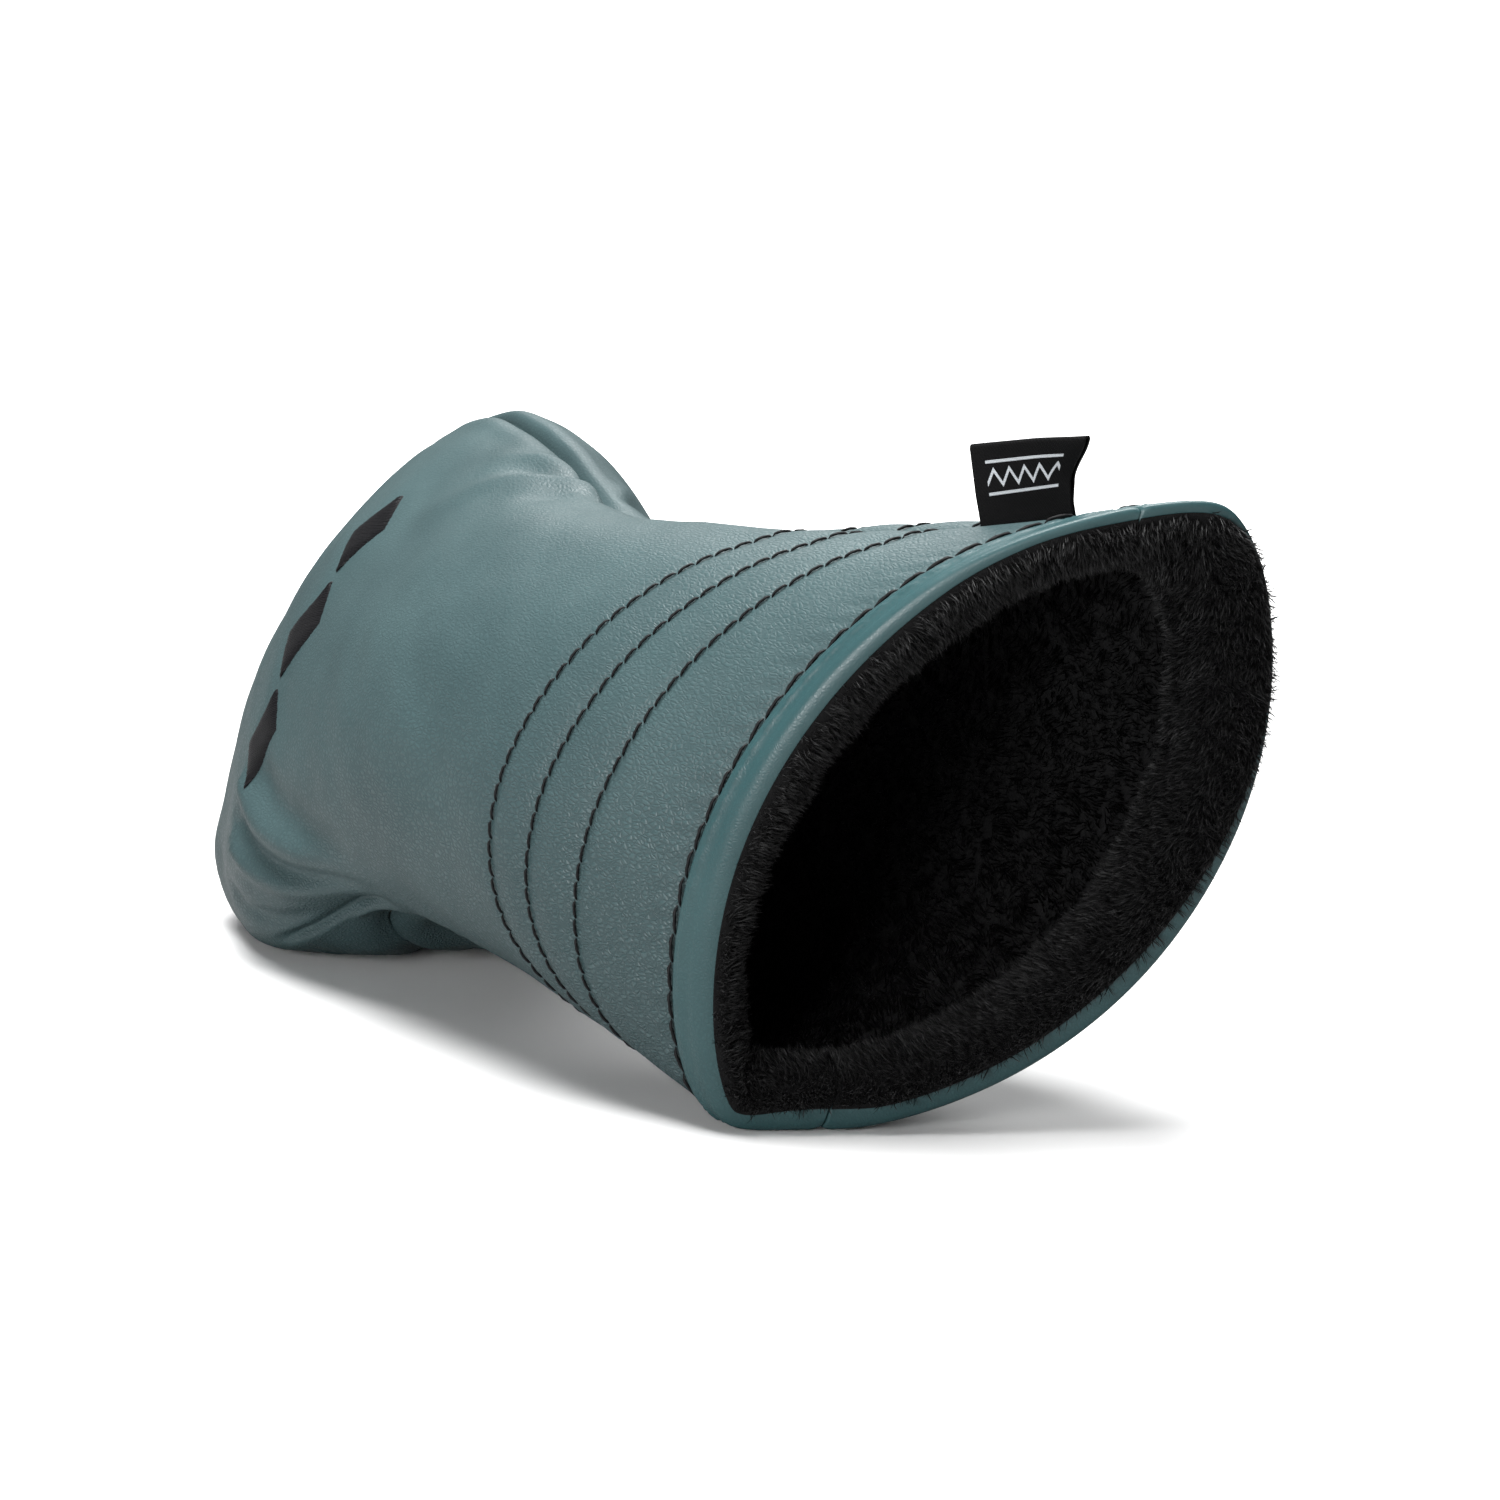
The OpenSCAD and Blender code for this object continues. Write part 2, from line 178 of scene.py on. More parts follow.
# stitches' places, used by the thread and by the leather that puckers round it
neckStitch = {"pitch": 3.2, "length": 3.3, "thick": 0.54, "lift": 0.20, "tilt": 8}
stitchRows = {
    "row_thread_far": {"x": neckX, **neckStitch},
    "row_thread_middle": {"x": neckX + cs["rowStep2"], **neckStitch},
    "row_thread_near": {"x": cs["coverLen"] - cs["rowNear"], **neckStitch},
    "edge_thread": {"x": edgeX, "pitch": 4.8, "length": 4.95, "thick": 0.66, "lift": 0.50, "tilt": 9},
}
for row in stitchRows.values():
    row["t"], row["arc"] = ringLength(row["x"])

# soft shape of the leather over its padding
softShape = {
    "seamDepth": 1.3, "seamWidth": 2.4,  # valley at the side seams
    "headDeeper": 1.6, "headNarrower": 0.25, "mouthFlatter": 0.55,  # the same by place, as shares
    "lipRise": 0.45, "lipAt": 6.0, "lipWidth": 3.2,  # soft lips beside that valley
    "rowDepth": 0.5, "rowWidth": 1.25, "rowPucker": 0.2, "rowRipple": 0.05,  # dip under a row of stitches
    "ditchDepth": 0.55, "ditchWidth": 1.3, "ditchPucker": 0.14, "ditchRipple": 0.10,  # dip beside the binding
    "rippleReach": 2.4,
    "padSwells": (neckX + 5.5, neckX + 17.0), "padRise": 0.28, "padWidth": 3.2,  # padding between the rows
    "unevenRise": 0.45, "unevenScale": 34.0, "fineRise": 0.16, "fineScale": 13.0,
    "calm": 0.65, "calmFrom": 140.0, "calmFull": 175.0,  # the neck is smoother than the head
    "gatherRise": 0.5, "gatherReach": 17.0,
    # ridges and valleys: from (x, t), to (x, t), rise, width in mm
    "creases": [
        ((106, 0), (79, -50), 1.4, 3.6), ((101, -1), (84, -27), -1.1, 3.0), ((98, 0), (75, -23), 0.9, 3.0),
        ((108, 0), (101, -34), -0.9, 3.2), ((99, 9), (84, 26), 0.9, 3.0), ((101, 8), (94, 30), -0.9, 2.6),
        ((57, -104), (120, -161), 1.9, 3.0), ((66, -103), (122, -154), -1.3, 3.4),
        ((55, -117), (114, -166), 1.7, 2.6), ((56, -111), (116, -164), -1.2, 2.0),
        ((48, -130), (104, -166), -1.4, 3.0), ((66, -152), (122, -173), -2.0, 3.0),
        ((88, -168), (120, -174), 0.8, 3.0), ((118, 172), (84, 150), 0.8, 4.0), ((114, 168), (76, 158), -0.9, 4.0),
    ],
    # broad swellings: centre (x, t), rise, spread in x, spread in t
    "swells": [
        ((30, -72), 2.3, 26, 42), ((70, 17), 0.9, 20, 14), ((188, 16), 1.3, 14, 12), ((150, -95), -0.8, 16, 40),
        ((58, 95), 1.2, 30, 40), ((64, -128), 0.8, 16, 20), ((24, -134), 1.5, 13, 18), ((91, 178), -6.6, 20, 32),
    ],
    "mmPerDegree": 0.8,  # round the cover, for the creases
    "crownCalm": 4.0,  # nothing rises on the last of the crown
}
ss = softShape


def unevenness(p, scale, seed):  # smooth seeded waves through space
    rng = np.random.default_rng(seed)
    out = np.zeros(p.shape[:-1])
    for i in range(14):
        k = rng.normal(size=3)
        k *= rng.uniform(0.6, 1.5) / np.linalg.norm(k) * 2 * math.pi / scale
        out += np.sin(p @ k + rng.uniform(0, 6.28))
    return out / 14 * 2.2


def leatherRise(x, t):  # how far the soft leather stands off the plain surface, mm
    x, t = np.broadcast_arrays(np.asarray(x, float), np.asarray(t, float))
    p = coverPoint(x, t)
    side = (t + 180) % 360 - 180  # -180 to 180 from the top seam
    perDegree = np.maximum(along(halfW, x) * 0.0138, 0.05) * 1.05
    fromSeam = np.minimum(np.abs(side), 180 - np.abs(side)) * perDegree
    upper = ramp(x, 30, 55) * (1 - ramp(x, 96, 112)) * (np.abs(side) < 60)  # top of the head
    depth = ss["seamDepth"] * (1 + ss["headDeeper"] * upper) * (1 - ss["mouthFlatter"] * ramp(x, 206, 216))
    out = (-depth * hump(fromSeam, ss["seamWidth"] * (1 - ss["headNarrower"] * upper))
           + ss["lipRise"] * hump(fromSeam - ss["lipAt"], ss["lipWidth"]))
    for name, row in stitchRows.items():
        pull = np.cos(np.interp(side, row["t"], row["arc"]) / row["pitch"] * 2 * math.pi)
        past = x - row["x"]
        if name == "edge_thread":
            out -= ss["ditchDepth"] * hump(past - 0.5, ss["ditchWidth"]) * (1 - ss["ditchPucker"] * (1 - pull))
            out += ss["ditchRipple"] * hump(past + 3.0, ss["rippleReach"]) * pull
        else:
            out -= ss["rowDepth"] * hump(past, ss["rowWidth"]) * (1 - ss["rowPucker"] * (1 - pull))
            out += ss["rowRipple"] * np.exp(-np.abs(past) / ss["rippleReach"]) * pull
    for middle in ss["padSwells"]:
        out += ss["padRise"] * hump(x - middle, ss["padWidth"])
    calm = 1 - ss["calm"] * ramp(x, ss["calmFrom"], ss["calmFull"])
    out += ss["unevenRise"] * calm * unevenness(p, ss["unevenScale"], 5)
    out += ss["fineRise"] * calm * unevenness(p, ss["fineScale"], 8)
    for (x0, t0), (x1, t1), rise, width in ss["creases"]:
        u, v = x - x0, (side - t0) * ss["mmPerDegree"]
        ux, vx = x1 - x0, (t1 - t0) * ss["mmPerDegree"]
        far = math.hypot(ux, vx)
        goes = (u * ux + v * vx) / far
        off = (u * vx - v * ux) / far
        ends = ramp(goes, -3, 6) * (1 - ramp(goes, far * 0.45, far))  # starts soon and fades slowly
        out += rise * hump(off, width * (0.7 + 0.6 * share(goes, 0, far))) * ends
    arc = side * perDegree / 1.05  # gathers where the elastic draws the back in
    gathers = np.cos(arc * 0.93 + 0.9 * np.sin(arc * 0.31 + 0.05 * x)) + 0.5 * np.cos(arc * 1.7 + 0.04 * x)
    drawn = hump(x - cs["waistX"], ss["gatherReach"]) * ramp(side, 12, 40) * (1 - ramp(side, 135, 165))
    out += ss["gatherRise"] * gathers * drawn
    return out * ramp(x, 0, ss["crownCalm"])


def formRise(x, t):  # broad swellings, which every layer follows
    out = np.zeros(np.broadcast(x, t).shape)
    for (x0, t0), rise, spreadX, spreadT in ss["swells"]:
        out += rise * hump(x - x0, spreadX) * hump((t - t0 + 180) % 360 - 180, spreadT)
    return out * ramp(x, 0, ss["crownCalm"])


mouthSlump = {
    "drop": 3.75, "dropFrom": 86.0, "dropFull": 112.0,  # the upper corner slumps, by height
    "cornerRound": 0.55, "cornerReach": 17.0, "cornerWidth": 24.0,  # the corners are rounded off
    "belly": 0.9, "bellyAt": 122.0, "bellyReach": 34.0,
    "sag": 2.0, "sagHeight": 45.0,  # the low side spreads under the weight
}
ms = mouthSlump


def softPoint(x, t, d=0.0, follow=1.0):  # a layer's point, following the soft leather by a share
    p = coverPoint(x, t, d)
    x = np.broadcast_to(x, p.shape[:-1])
    near = ramp(x, *mouthReach)
    tip = np.abs((t + along(seamTurn, x) + 90) % 180 - 90)  # degrees from the mouth's corners
    spread = sum(coverPoint(x, t + turn * ms["cornerReach"], d) for turn in (-1, -0.5, 0.5, 1)) / 4
    p = p + (spread - p) * (ms["cornerRound"] * near * hump(tip, ms["cornerWidth"]))[..., None]
    belly = ms["belly"] * near * hump(t - ms["bellyAt"], ms["bellyReach"])
    p = p + outward(x, t) * (leatherRise(x, t) * follow + formRise(x, t) + belly)[..., None]
    drop = ms["drop"] * ramp(p[..., 2], ms["dropFrom"], ms["dropFull"]) * near
    p[..., 2] = np.maximum(p[..., 2] - drop, floorUnder(x, d))
    p[..., 2] -= ms["sag"] * (1 - ramp(p[..., 2], 0, ms["sagHeight"]))
    return p


def deeper(x, d):  # a deeper layer starts later at the crown
    return np.where((x < cs["headX"]) & (d > 0), d + x * (cs["headX"] - d) / cs["headX"], x)


# mesh helpers
def newObject(name, mesh):
    obj = bpy.data.objects.new(name, mesh)
    bpy.context.scene.collection.objects.link(obj)
    return obj


def meshFrom(name, points, faces, sharp=50):
    mesh = bpy.data.meshes.new(name)
    mesh.from_pydata((np.asarray(points).reshape(-1, 3) * mm).tolist(), [], np.asarray(faces).tolist())
    mesh.polygons.foreach_set("use_smooth", np.ones(len(mesh.polygons), bool))
    mesh.set_sharp_from_angle(angle=math.radians(sharp))
    mesh.update()
    return mesh


def gridFaces(m, n, start=0):
    a = (np.arange(m - 1)[:, None] * n + np.arange(n - 1)[None]).ravel() + start
    return np.stack([a, a + n, a + n + 1, a + 1], -1)


def shellObject(name, outer, inner, sharp=50):  # closed shell between two grids of points
    m, n = outer.shape[:2]
    far = m * n
    top = gridFaces(m, n)
    low = gridFaces(m, n, far)[:, ::-1]
    rim = np.r_[np.arange(n), np.arange(2, m + 1) * n - 1,
                (m - 1) * n + np.arange(n - 2, -1, -1), np.arange(m - 2, 0, -1) * n]
    nxt = np.roll(rim, -1)
    edge = np.stack([rim, nxt, nxt + far, rim + far], -1)
    return newObject(name, meshFrom(name, np.concatenate([outer.reshape(-1, 3), inner.reshape(-1, 3)]),
                                    np.concatenate([top, low, edge]), sharp))


def addUv(obj, uv):  # one pair for each vertex
    layer = obj.data.uv_layers.new(name="cloth")
    loops = np.zeros(len(obj.data.loops), int)
    obj.data.loops.foreach_get("vertex_index", loops)
    layer.data.foreach_set("uv", np.asarray(uv)[loops].astype(np.float32).ravel())


def storeOnPoints(mesh, name, kind, values):  # one value for each point
    field = "value" if kind == "FLOAT" else "vector"
    mesh.attributes.new(name, kind, "POINT").data.foreach_set(field, np.asarray(values, np.float32).ravel())


def addMaterial(obj, mat):
    obj.data.materials.clear()
    obj.data.materials.append(mat)


# shader helpers and shared groups
def feed(tree, node, inputs):  # links a socket or sets a plain value
    for key, value in inputs.items():
        if isinstance(value, bpy.types.NodeSocket):
            tree.links.new(value, node.inputs[key])
        else:
            node.inputs[key].default_value = value


def put(tree, kind, inputs=None, **props):
    node = tree.nodes.new(kind)
    for key, value in props.items():
        setattr(node, key, value)
    feed(tree, node, inputs or {})
    return node


def newGroup(name, kind, inputs, outputs):
    group = bpy.data.node_groups.new(name, kind)
    for label, socket, value in inputs:
        item = group.interface.new_socket(name=label, in_out="INPUT", socket_type="NodeSocket" + socket)
        if value is not None:
            item.default_value = value
    for label, socket in outputs:
        group.interface.new_socket(name=label, in_out="OUTPUT", socket_type="NodeSocket" + socket)
    return group, group.nodes.new("NodeGroupInput"), group.nodes.new("NodeGroupOutput")


def math2(tree, op, a, b=0.0, c=0.0):
    return put(tree, "ShaderNodeMath", {0: a, 1: b, 2: c}, operation=op).outputs[0]


def vectorMath(tree, op, a, b):  # b is a second vector, or a number that scales
    return put(tree, "ShaderNodeVectorMath", {0: a, "Scale" if op == "SCALE" else 1: b}, operation=op).outputs[0]


def mapped(tree, value, start, stop, low=0.0, high=1.0, **props):  # start to stop becomes low to high
    return put(tree, "ShaderNodeMapRange", {"Value": value, "From Min": start, "From Max": stop,
                                            "To Min": low, "To Max": high}, **props).outputs[0]


def noise(tree, where, scale, detail, rough=0.5):
    return put(tree, "ShaderNodeTexNoise",
               {"Vector": where, "Scale": scale, "Detail": detail, "Roughness": rough}).outputs


def bumped(tree, height, distance, strength, **props):
    return put(tree, "ShaderNodeBump",
               {"Height": height, "Distance": distance, "Strength": strength}, **props).outputs[0]


def mixColor(tree, factor, a, b):
    return put(tree, "ShaderNodeMix", {0: factor, 6: a, 7: b}, data_type="RGBA").outputs[2]


def makePebbleGrain():  # pressed leather grain: rounded pebbles with fine pores
    g, gi, go = newGroup("pebbleGrain", "ShaderNodeTree",
                         [("Vector", "Vector", None), ("Cells per metre", "Float", 1150.0),
                          ("Pore share", "Float", 0.15), ("Stretch", "Vector", (1.0, 1.0, 1.0))],
                         [("Height", "Float"), ("Valley", "Float")])
    where = gi.outputs["Vector"]
    push = vectorMath(g, "SUBTRACT", noise(g, where, 420.0, 2.0)["Color"], (0.5, 0.5, 0.5))
    moved = vectorMath(g, "ADD", where, vectorMath(g, "SCALE", push, 0.0011))
    drawn = vectorMath(g, "MULTIPLY", moved, gi.outputs["Stretch"])
    cells = put(g, "ShaderNodeTexVoronoi", {"Vector": drawn, "Scale": gi.outputs["Cells per metre"]},
                feature="DISTANCE_TO_EDGE")
    pebble = mapped(g, cells.outputs["Distance"], 0.0, 0.34, interpolation_type="SMOOTHSTEP")
    pores = math2(g, "MULTIPLY", noise(g, where, 2600.0, 3.0)["Fac"], gi.outputs["Pore share"])
    feed(g, go, {"Height": math2(g, "ADD", pebble, pores), "Valley": math2(g, "SUBTRACT", 1.0, pebble)})
    return g


def makeMottle():  # slow change of tone over a piece
    g, gi, go = newGroup("toneMottle", "ShaderNodeTree",
                         [("Vector", "Vector", None), ("Scale", "Float", 40.0),
                          ("Low", "Float", 0.35), ("High", "Float", 0.65)], [("Factor", "Float")])
    tone = noise(g, gi.outputs["Vector"], gi.outputs["Scale"], 4.0, 0.55)["Fac"]
    feed(g, go, {"Factor": mapped(g, tone, gi.outputs["Low"], gi.outputs["High"])})
    return g


def makeWeave():  # crossing yarns read from a map in millimetres
    g, gi, go = newGroup("yarnWeave", "ShaderNodeTree",
                         [("Vector", "Vector", None), ("Warp per mm", "Float", 4.0), ("Weft per mm", "Float", 4.0)],
                         [("Height", "Float"), ("Over", "Float")])
    xyz = put(g, "ShaderNodeSeparateXYZ", {0: gi.outputs["Vector"]})
    u = math2(g, "MULTIPLY", xyz.outputs[0], gi.outputs["Warp per mm"])
    v = math2(g, "MULTIPLY", xyz.outputs[1], gi.outputs["Weft per mm"])
    warp = math2(g, "ABSOLUTE", math2(g, "SINE", math2(g, "MULTIPLY", u, math.pi)))
    weft = math2(g, "ABSOLUTE", math2(g, "SINE", math2(g, "MULTIPLY", v, math.pi)))
    step = math2(g, "ADD", math2(g, "FLOOR", u), math2(g, "FLOOR", v))
    over = math2(g, "GREATER_THAN", math2(g, "FRACT", math2(g, "MULTIPLY", step, 1 / 3)), 0.5)
    height = put(g, "ShaderNodeMix", {0: over, 2: weft, 3: warp}, data_type="FLOAT")
    feed(g, go, {"Height": height.outputs[0], "Over": over})
    return g


pebbleGrain, toneMottle, yarnWeave = makePebbleGrain(), makeMottle(), makeWeave()


def newMaterial(name):
    mat = bpy.data.materials.new(name)
    mat.use_nodes = True
    tree = mat.node_tree
    shader = tree.nodes["Principled BSDF"]
    where = put(tree, "ShaderNodeTexCoord").outputs["Object"]
    return mat, tree, shader, where


def grouped(tree, group, inputs):
    return put(tree, "ShaderNodeGroup", inputs, node_tree=group).outputs


# the valley colour and its share paint shade into the grain's valleys; tone and light are the leather's own colours,
# mottled at random
leatherLook = {
    "tone": (0.043, 0.078, 0.083, 1), "light": (0.055, 0.098, 0.103, 1), "valleyShade": (0.022, 0.046, 0.050, 1),
    "roughLow": 0.37, "roughHigh": 0.46, "valleyShadeShare": 0.8,
    "grainDepth": 0.00017, "cells": 1500.0, "stretch": (0.45, 1.0, 1.0),
}
bindingLook = {
    "tone": (0.027, 0.074, 0.080, 1), "light": (0.035, 0.090, 0.096, 1), "valleyShade": (0.017, 0.049, 0.053, 1),
    "roughLow": 0.29, "roughHigh": 0.37, "valleyShadeShare": 0.35,
    "grainDepth": 0.00003, "cells": 1600.0, "stretch": (0.8, 1.0, 1.0),
}


def makeLeather(name, look):
    mat, tree, shader, where = newMaterial(name)
    grain = grouped(tree, pebbleGrain,
                    {"Vector": where, "Cells per metre": look["cells"], "Stretch": look["stretch"]})
    tone = grouped(tree, toneMottle, {"Vector": where, "Scale": 28.0})
    fade = grouped(tree, toneMottle, {"Vector": where, "Scale": 160.0, "Low": 0.4, "High": 0.75})
    place = put(tree, "ShaderNodeSeparateXYZ", {0: where}).outputs
    low = mapped(tree, place[2], 0.005, 0.085, 1.0, 0.3)  # the grain closes up low on the neck
    near = mapped(tree, place[0], -0.07, 0.05, 0.4, 1.0)  # and is drawn flat over the head
    crowd = math2(tree, "MULTIPLY", low, near)
    body = mixColor(tree, tone["Factor"], look["tone"], look["light"])
    # painted shade: darker in the grain's valleys, most where the grain is strongest
    dark = math2(tree, "MULTIPLY", math2(tree, "MULTIPLY", grain["Valley"], look["valleyShadeShare"]), crowd)
    rough = mapped(tree, fade["Factor"], 0.0, 1.0, look["roughLow"], look["roughHigh"])
    feed(tree, shader, {
        "Base Color": mixColor(tree, dark, body, look["valleyShade"]),
        "Roughness": math2(tree, "ADD", rough, math2(tree, "MULTIPLY", grain["Valley"], 0.12)),
        "Normal": bumped(tree, grain["Height"], look["grainDepth"], crowd),
        "Specular IOR Level": 0.5,
    })
    return mat


def makePlush(name, root, tip, sheen):
    mat, tree, shader, where = newMaterial(name)
    tone = grouped(tree, toneMottle, {"Vector": where, "Scale": 90.0})
    nap = noise(tree, where, 900.0, 5.0, 0.7)["Fac"]
    feed(tree, shader, {
        "Base Color": mixColor(tree, math2(tree, "MULTIPLY", tone["Factor"], nap), root, tip),
        "Roughness": math2(tree, "MULTIPLY_ADD", nap, 0.2, 0.75),
        "Normal": bumped(tree, nap, 0.0006, 0.9),
        "Sheen Weight": sheen, "Sheen Roughness": 0.45, "Sheen Tint": (0.6, 0.6, 0.62, 1),
        "Specular IOR Level": 0.2,
    })
    return mat


def makePile(name, root, tips, shine):  # tufts, dark at the root and greyer at the tip
    mat, tree, shader = newMaterial(name)[:3]
    tip = put(tree, "ShaderNodeAttribute", attribute_name="tip").outputs["Fac"]
    tone = put(tree, "ShaderNodeAttribute", attribute_name="tone").outputs["Fac"]
    feed(tree, shader, {
        "Base Color": mixColor(tree, math2(tree, "MULTIPLY", tip, tone), root, tips),
        "Roughness": mapped(tree, tone, 0.0, 1.0, 0.40, 0.62),
        "Specular IOR Level": shine,
    })
    return mat


def makeThread(name, dark, pale, rough):
    mat, tree, shader, where = newMaterial(name)
    fibre = noise(tree, where, 5200.0, 3.0)["Fac"]
    feed(tree, shader, {
        "Base Color": mixColor(tree, fibre, dark, pale),
        "Roughness": mapped(tree, fibre, 0.0, 1.0, rough - 0.08, rough + 0.12),
        "Normal": bumped(tree, fibre, 0.00008, 0.6),
        "Sheen Weight": 0.01, "Specular IOR Level": 0.2,
    })
    return mat


def makeFoam(name):
    mat, tree, shader, where = newMaterial(name)
    cells = put(tree, "ShaderNodeTexVoronoi", {"Vector": where, "Scale": 1400.0}).outputs["Distance"]
    tone = grouped(tree, toneMottle, {"Vector": where, "Scale": 60.0})
    body = mixColor(tree, tone["Factor"], (0.60, 0.56, 0.46, 1), (0.72, 0.69, 0.59, 1))
    # painted shade: darker in the grooves the bump sinks between the cells; the mottled tone is the foam's own
    feed(tree, shader, {
        "Base Color": mixColor(tree, math2(tree, "MULTIPLY", cells, 0.5), body, (0.38, 0.35, 0.28, 1)),
        "Normal": bumped(tree, cells, 0.0003, 0.7, invert=True),
        "Roughness": 0.9,
    })
    return mat


def makeWoven(name, dark, pale, warp, weft, motif=None):
    mat, tree, shader, where = newMaterial(name)
    uv = put(tree, "ShaderNodeUVMap", uv_map="cloth").outputs[0]
    yarns = {"Vector": uv, "Warp per mm": warp, "Weft per mm": weft}
    height = weave = grouped(tree, yarnWeave, yarns)["Height"]
    fibre = noise(tree, where, 3500.0, 3.0)["Fac"]
    # painted shade and painted highlight: darker where the yarns dip and paler on their crowns, the motif's pale
    # yarn too; the fibre noise is the yarn's own
    body = mixColor(tree, math2(tree, "MULTIPLY", weave, fibre), dark, pale)
    if motif:
        mark = motif(tree, uv)
        yarn = mixColor(tree, weave, (0.26, 0.28, 0.30, 1), (0.62, 0.65, 0.68, 1))
        body = mixColor(tree, mark, body, yarn)
        height = math2(tree, "ADD", weave, math2(tree, "MULTIPLY", mark, 0.6))
    feed(tree, shader, {
        "Base Color": body,
        "Roughness": math2(tree, "MULTIPLY_ADD", fibre, 0.25, 0.5),
        "Normal": bumped(tree, height, 0.00007, 0.8),
        "Specular IOR Level": 0.09,
    })
    return mat


zigzag = {"half": 1.6, "slope": 1.5, "foot": 4.2, "yarn": 0.42, "lines": (2.9, 7.9), "lineYarn": 0.24, "reach": 7.4}


def labelMotif(tree, uv):  # a plain zigzag between two lines, woven in pale yarn, in mm on the label
    xyz = put(tree, "ShaderNodeSeparateXYZ", {0: uv})
    u, v = xyz.outputs[0], xyz.outputs[1]

    def within(value, limit):
        return math2(tree, "LESS_THAN", math2(tree, "ABSOLUTE", value), limit)

    wave = math2(tree, "PINGPONG", math2(tree, "ADD", u, 30.0), zigzag["half"])  # 30 keeps u above zero
    line = math2(tree, "MULTIPLY_ADD", wave, zigzag["slope"], zigzag["foot"])
    mark = within(math2(tree, "SUBTRACT", v, line), zigzag["yarn"])
    for height in zigzag["lines"]:
        mark = math2(tree, "MAXIMUM", mark, within(math2(tree, "SUBTRACT", v, height), zigzag["lineYarn"]))
    return math2(tree, "MULTIPLY", mark, within(u, zigzag["reach"]))


leather = makeLeather("teal_leather", leatherLook)
bindingLeather = makeLeather("teal_binding_leather", bindingLook)
plush = makePlush("black_plush_base", (0.0016, 0.0016, 0.0018, 1), (0.007, 0.007, 0.0075, 1), 0.05)
rollPile = makePile("black_plush_pile", (0.0025, 0.0025, 0.0026, 1), (0.044, 0.044, 0.045, 1), 0.30)
# the same black pile as on the roll, made far darker as painted shade deep inside the cover
insidePileShaded = makePile("black_lining_pile_shaded", (0.0006, 0.0006, 0.0006, 1), (0.0035, 0.0035, 0.0035, 1), 0.08)
thread = makeThread("black_sewing_thread", (0.0015, 0.0015, 0.002, 1), (0.009, 0.009, 0.010, 1), 0.5)
satin = makeThread("black_satin_thread", (0.002, 0.002, 0.0025, 1), (0.010, 0.010, 0.012, 1), 0.42)
foam = makeFoam("pale_foam")
elasticWeave = makeWoven("black_elastic", (0.01, 0.01, 0.011, 1), (0.05, 0.05, 0.052, 1), 1.6, 0.9)
labelWeave = makeWoven("black_woven_label", (0.0012, 0.0012, 0.0014, 1), (0.007, 0.007, 0.0075, 1), 5.0, 4.0,
                       labelMotif)
print("materials made")

# leather panels, padding and elastic
panelGrid = {"crownRows": 34, "flankStep": 1.5, "mouthStep": 0.7, "columns": 210, "seamGap": 0.35}
padding = {"columns": 90, "seamGap": 0.5, "follow": 0.25}  # follow: its inside's share of the leather's form


def panelX():
    crown = cs["headX"] * (1 - np.cos(np.arange(panelGrid["crownRows"]) * math.pi / 2 / panelGrid["crownRows"]))
    flank = np.arange(cs["headX"], neckX - 8, panelGrid["flankStep"])
    mouth = np.arange(neckX - 8, cs["coverLen"] + 0.01, panelGrid["mouthStep"])
    return np.r_[np.maximum(crown, 0.12), flank, mouth]


def turns(side, n, gap):
    return np.linspace(-180 + gap, -gap, n) if side == "front" else np.linspace(gap, 180 - gap, n)


pieces = {}
for side in ("front", "back"):
    x, t = panelX()[:, None], turns(side, panelGrid["columns"], panelGrid["seamGap"])[None]
    outer = softPoint(x, t, 0.0)
    inner = softPoint(deeper(x, cs["leatherT"]), t, cs["leatherT"])
    obj = shellObject(side + "_panel_leather", outer, inner)
    addMaterial(obj, leather)
    pieces[side + "_panel"] = obj

    x, t = panelX()[::3][:, None], turns(side, padding["columns"], padding["seamGap"])[None]
    outer = softPoint(deeper(x, padOut), t, padOut)
    underBand = (np.abs(x - cs["waistX"]) < cs["elasticW"] / 2 + 0.8) & (side == "back")
    thin = padIn - (cs["elasticT"] + 0.2) * underBand
    inner = softPoint(deeper(x, padIn), t, thin, padding["follow"])
    obj = shellObject(side + "_foam_padding", outer, inner)
    addMaterial(obj, foam)
    pieces[side + "_padding"] = obj
print("panels and padding made")

elasticBand = {"rows": 19, "columns": 160, "ripple": 0.12, "ribs": 1.1, "length": 105.0, "seamGap": 0.6}
halfBand = cs["elasticW"] / 2
x = np.linspace(cs["waistX"] - halfBand, cs["waistX"] + halfBand, elasticBand["rows"])[:, None]
t = turns("back", elasticBand["columns"], elasticBand["seamGap"])[None]
ripple = elasticBand["ripple"] * np.abs(np.cos(x / elasticBand["ribs"] * math.pi)) * np.ones_like(t)
outer = softPoint(x, t, padIn - cs["elasticT"] + 0.05 + ripple * 0.5, padding["follow"])
inner = softPoint(x, t, padIn - 0.05 - ripple, padding["follow"])
band = shellObject("waist_elastic_band", outer, inner)
arc = np.linspace(0, elasticBand["length"], elasticBand["columns"])
uv = np.stack(np.broadcast_arrays(arc[None], x), -1).reshape(-1, 2)
addUv(band, np.concatenate([uv, uv]))
addMaterial(band, elasticWeave)
pieces["waist_elastic"] = band

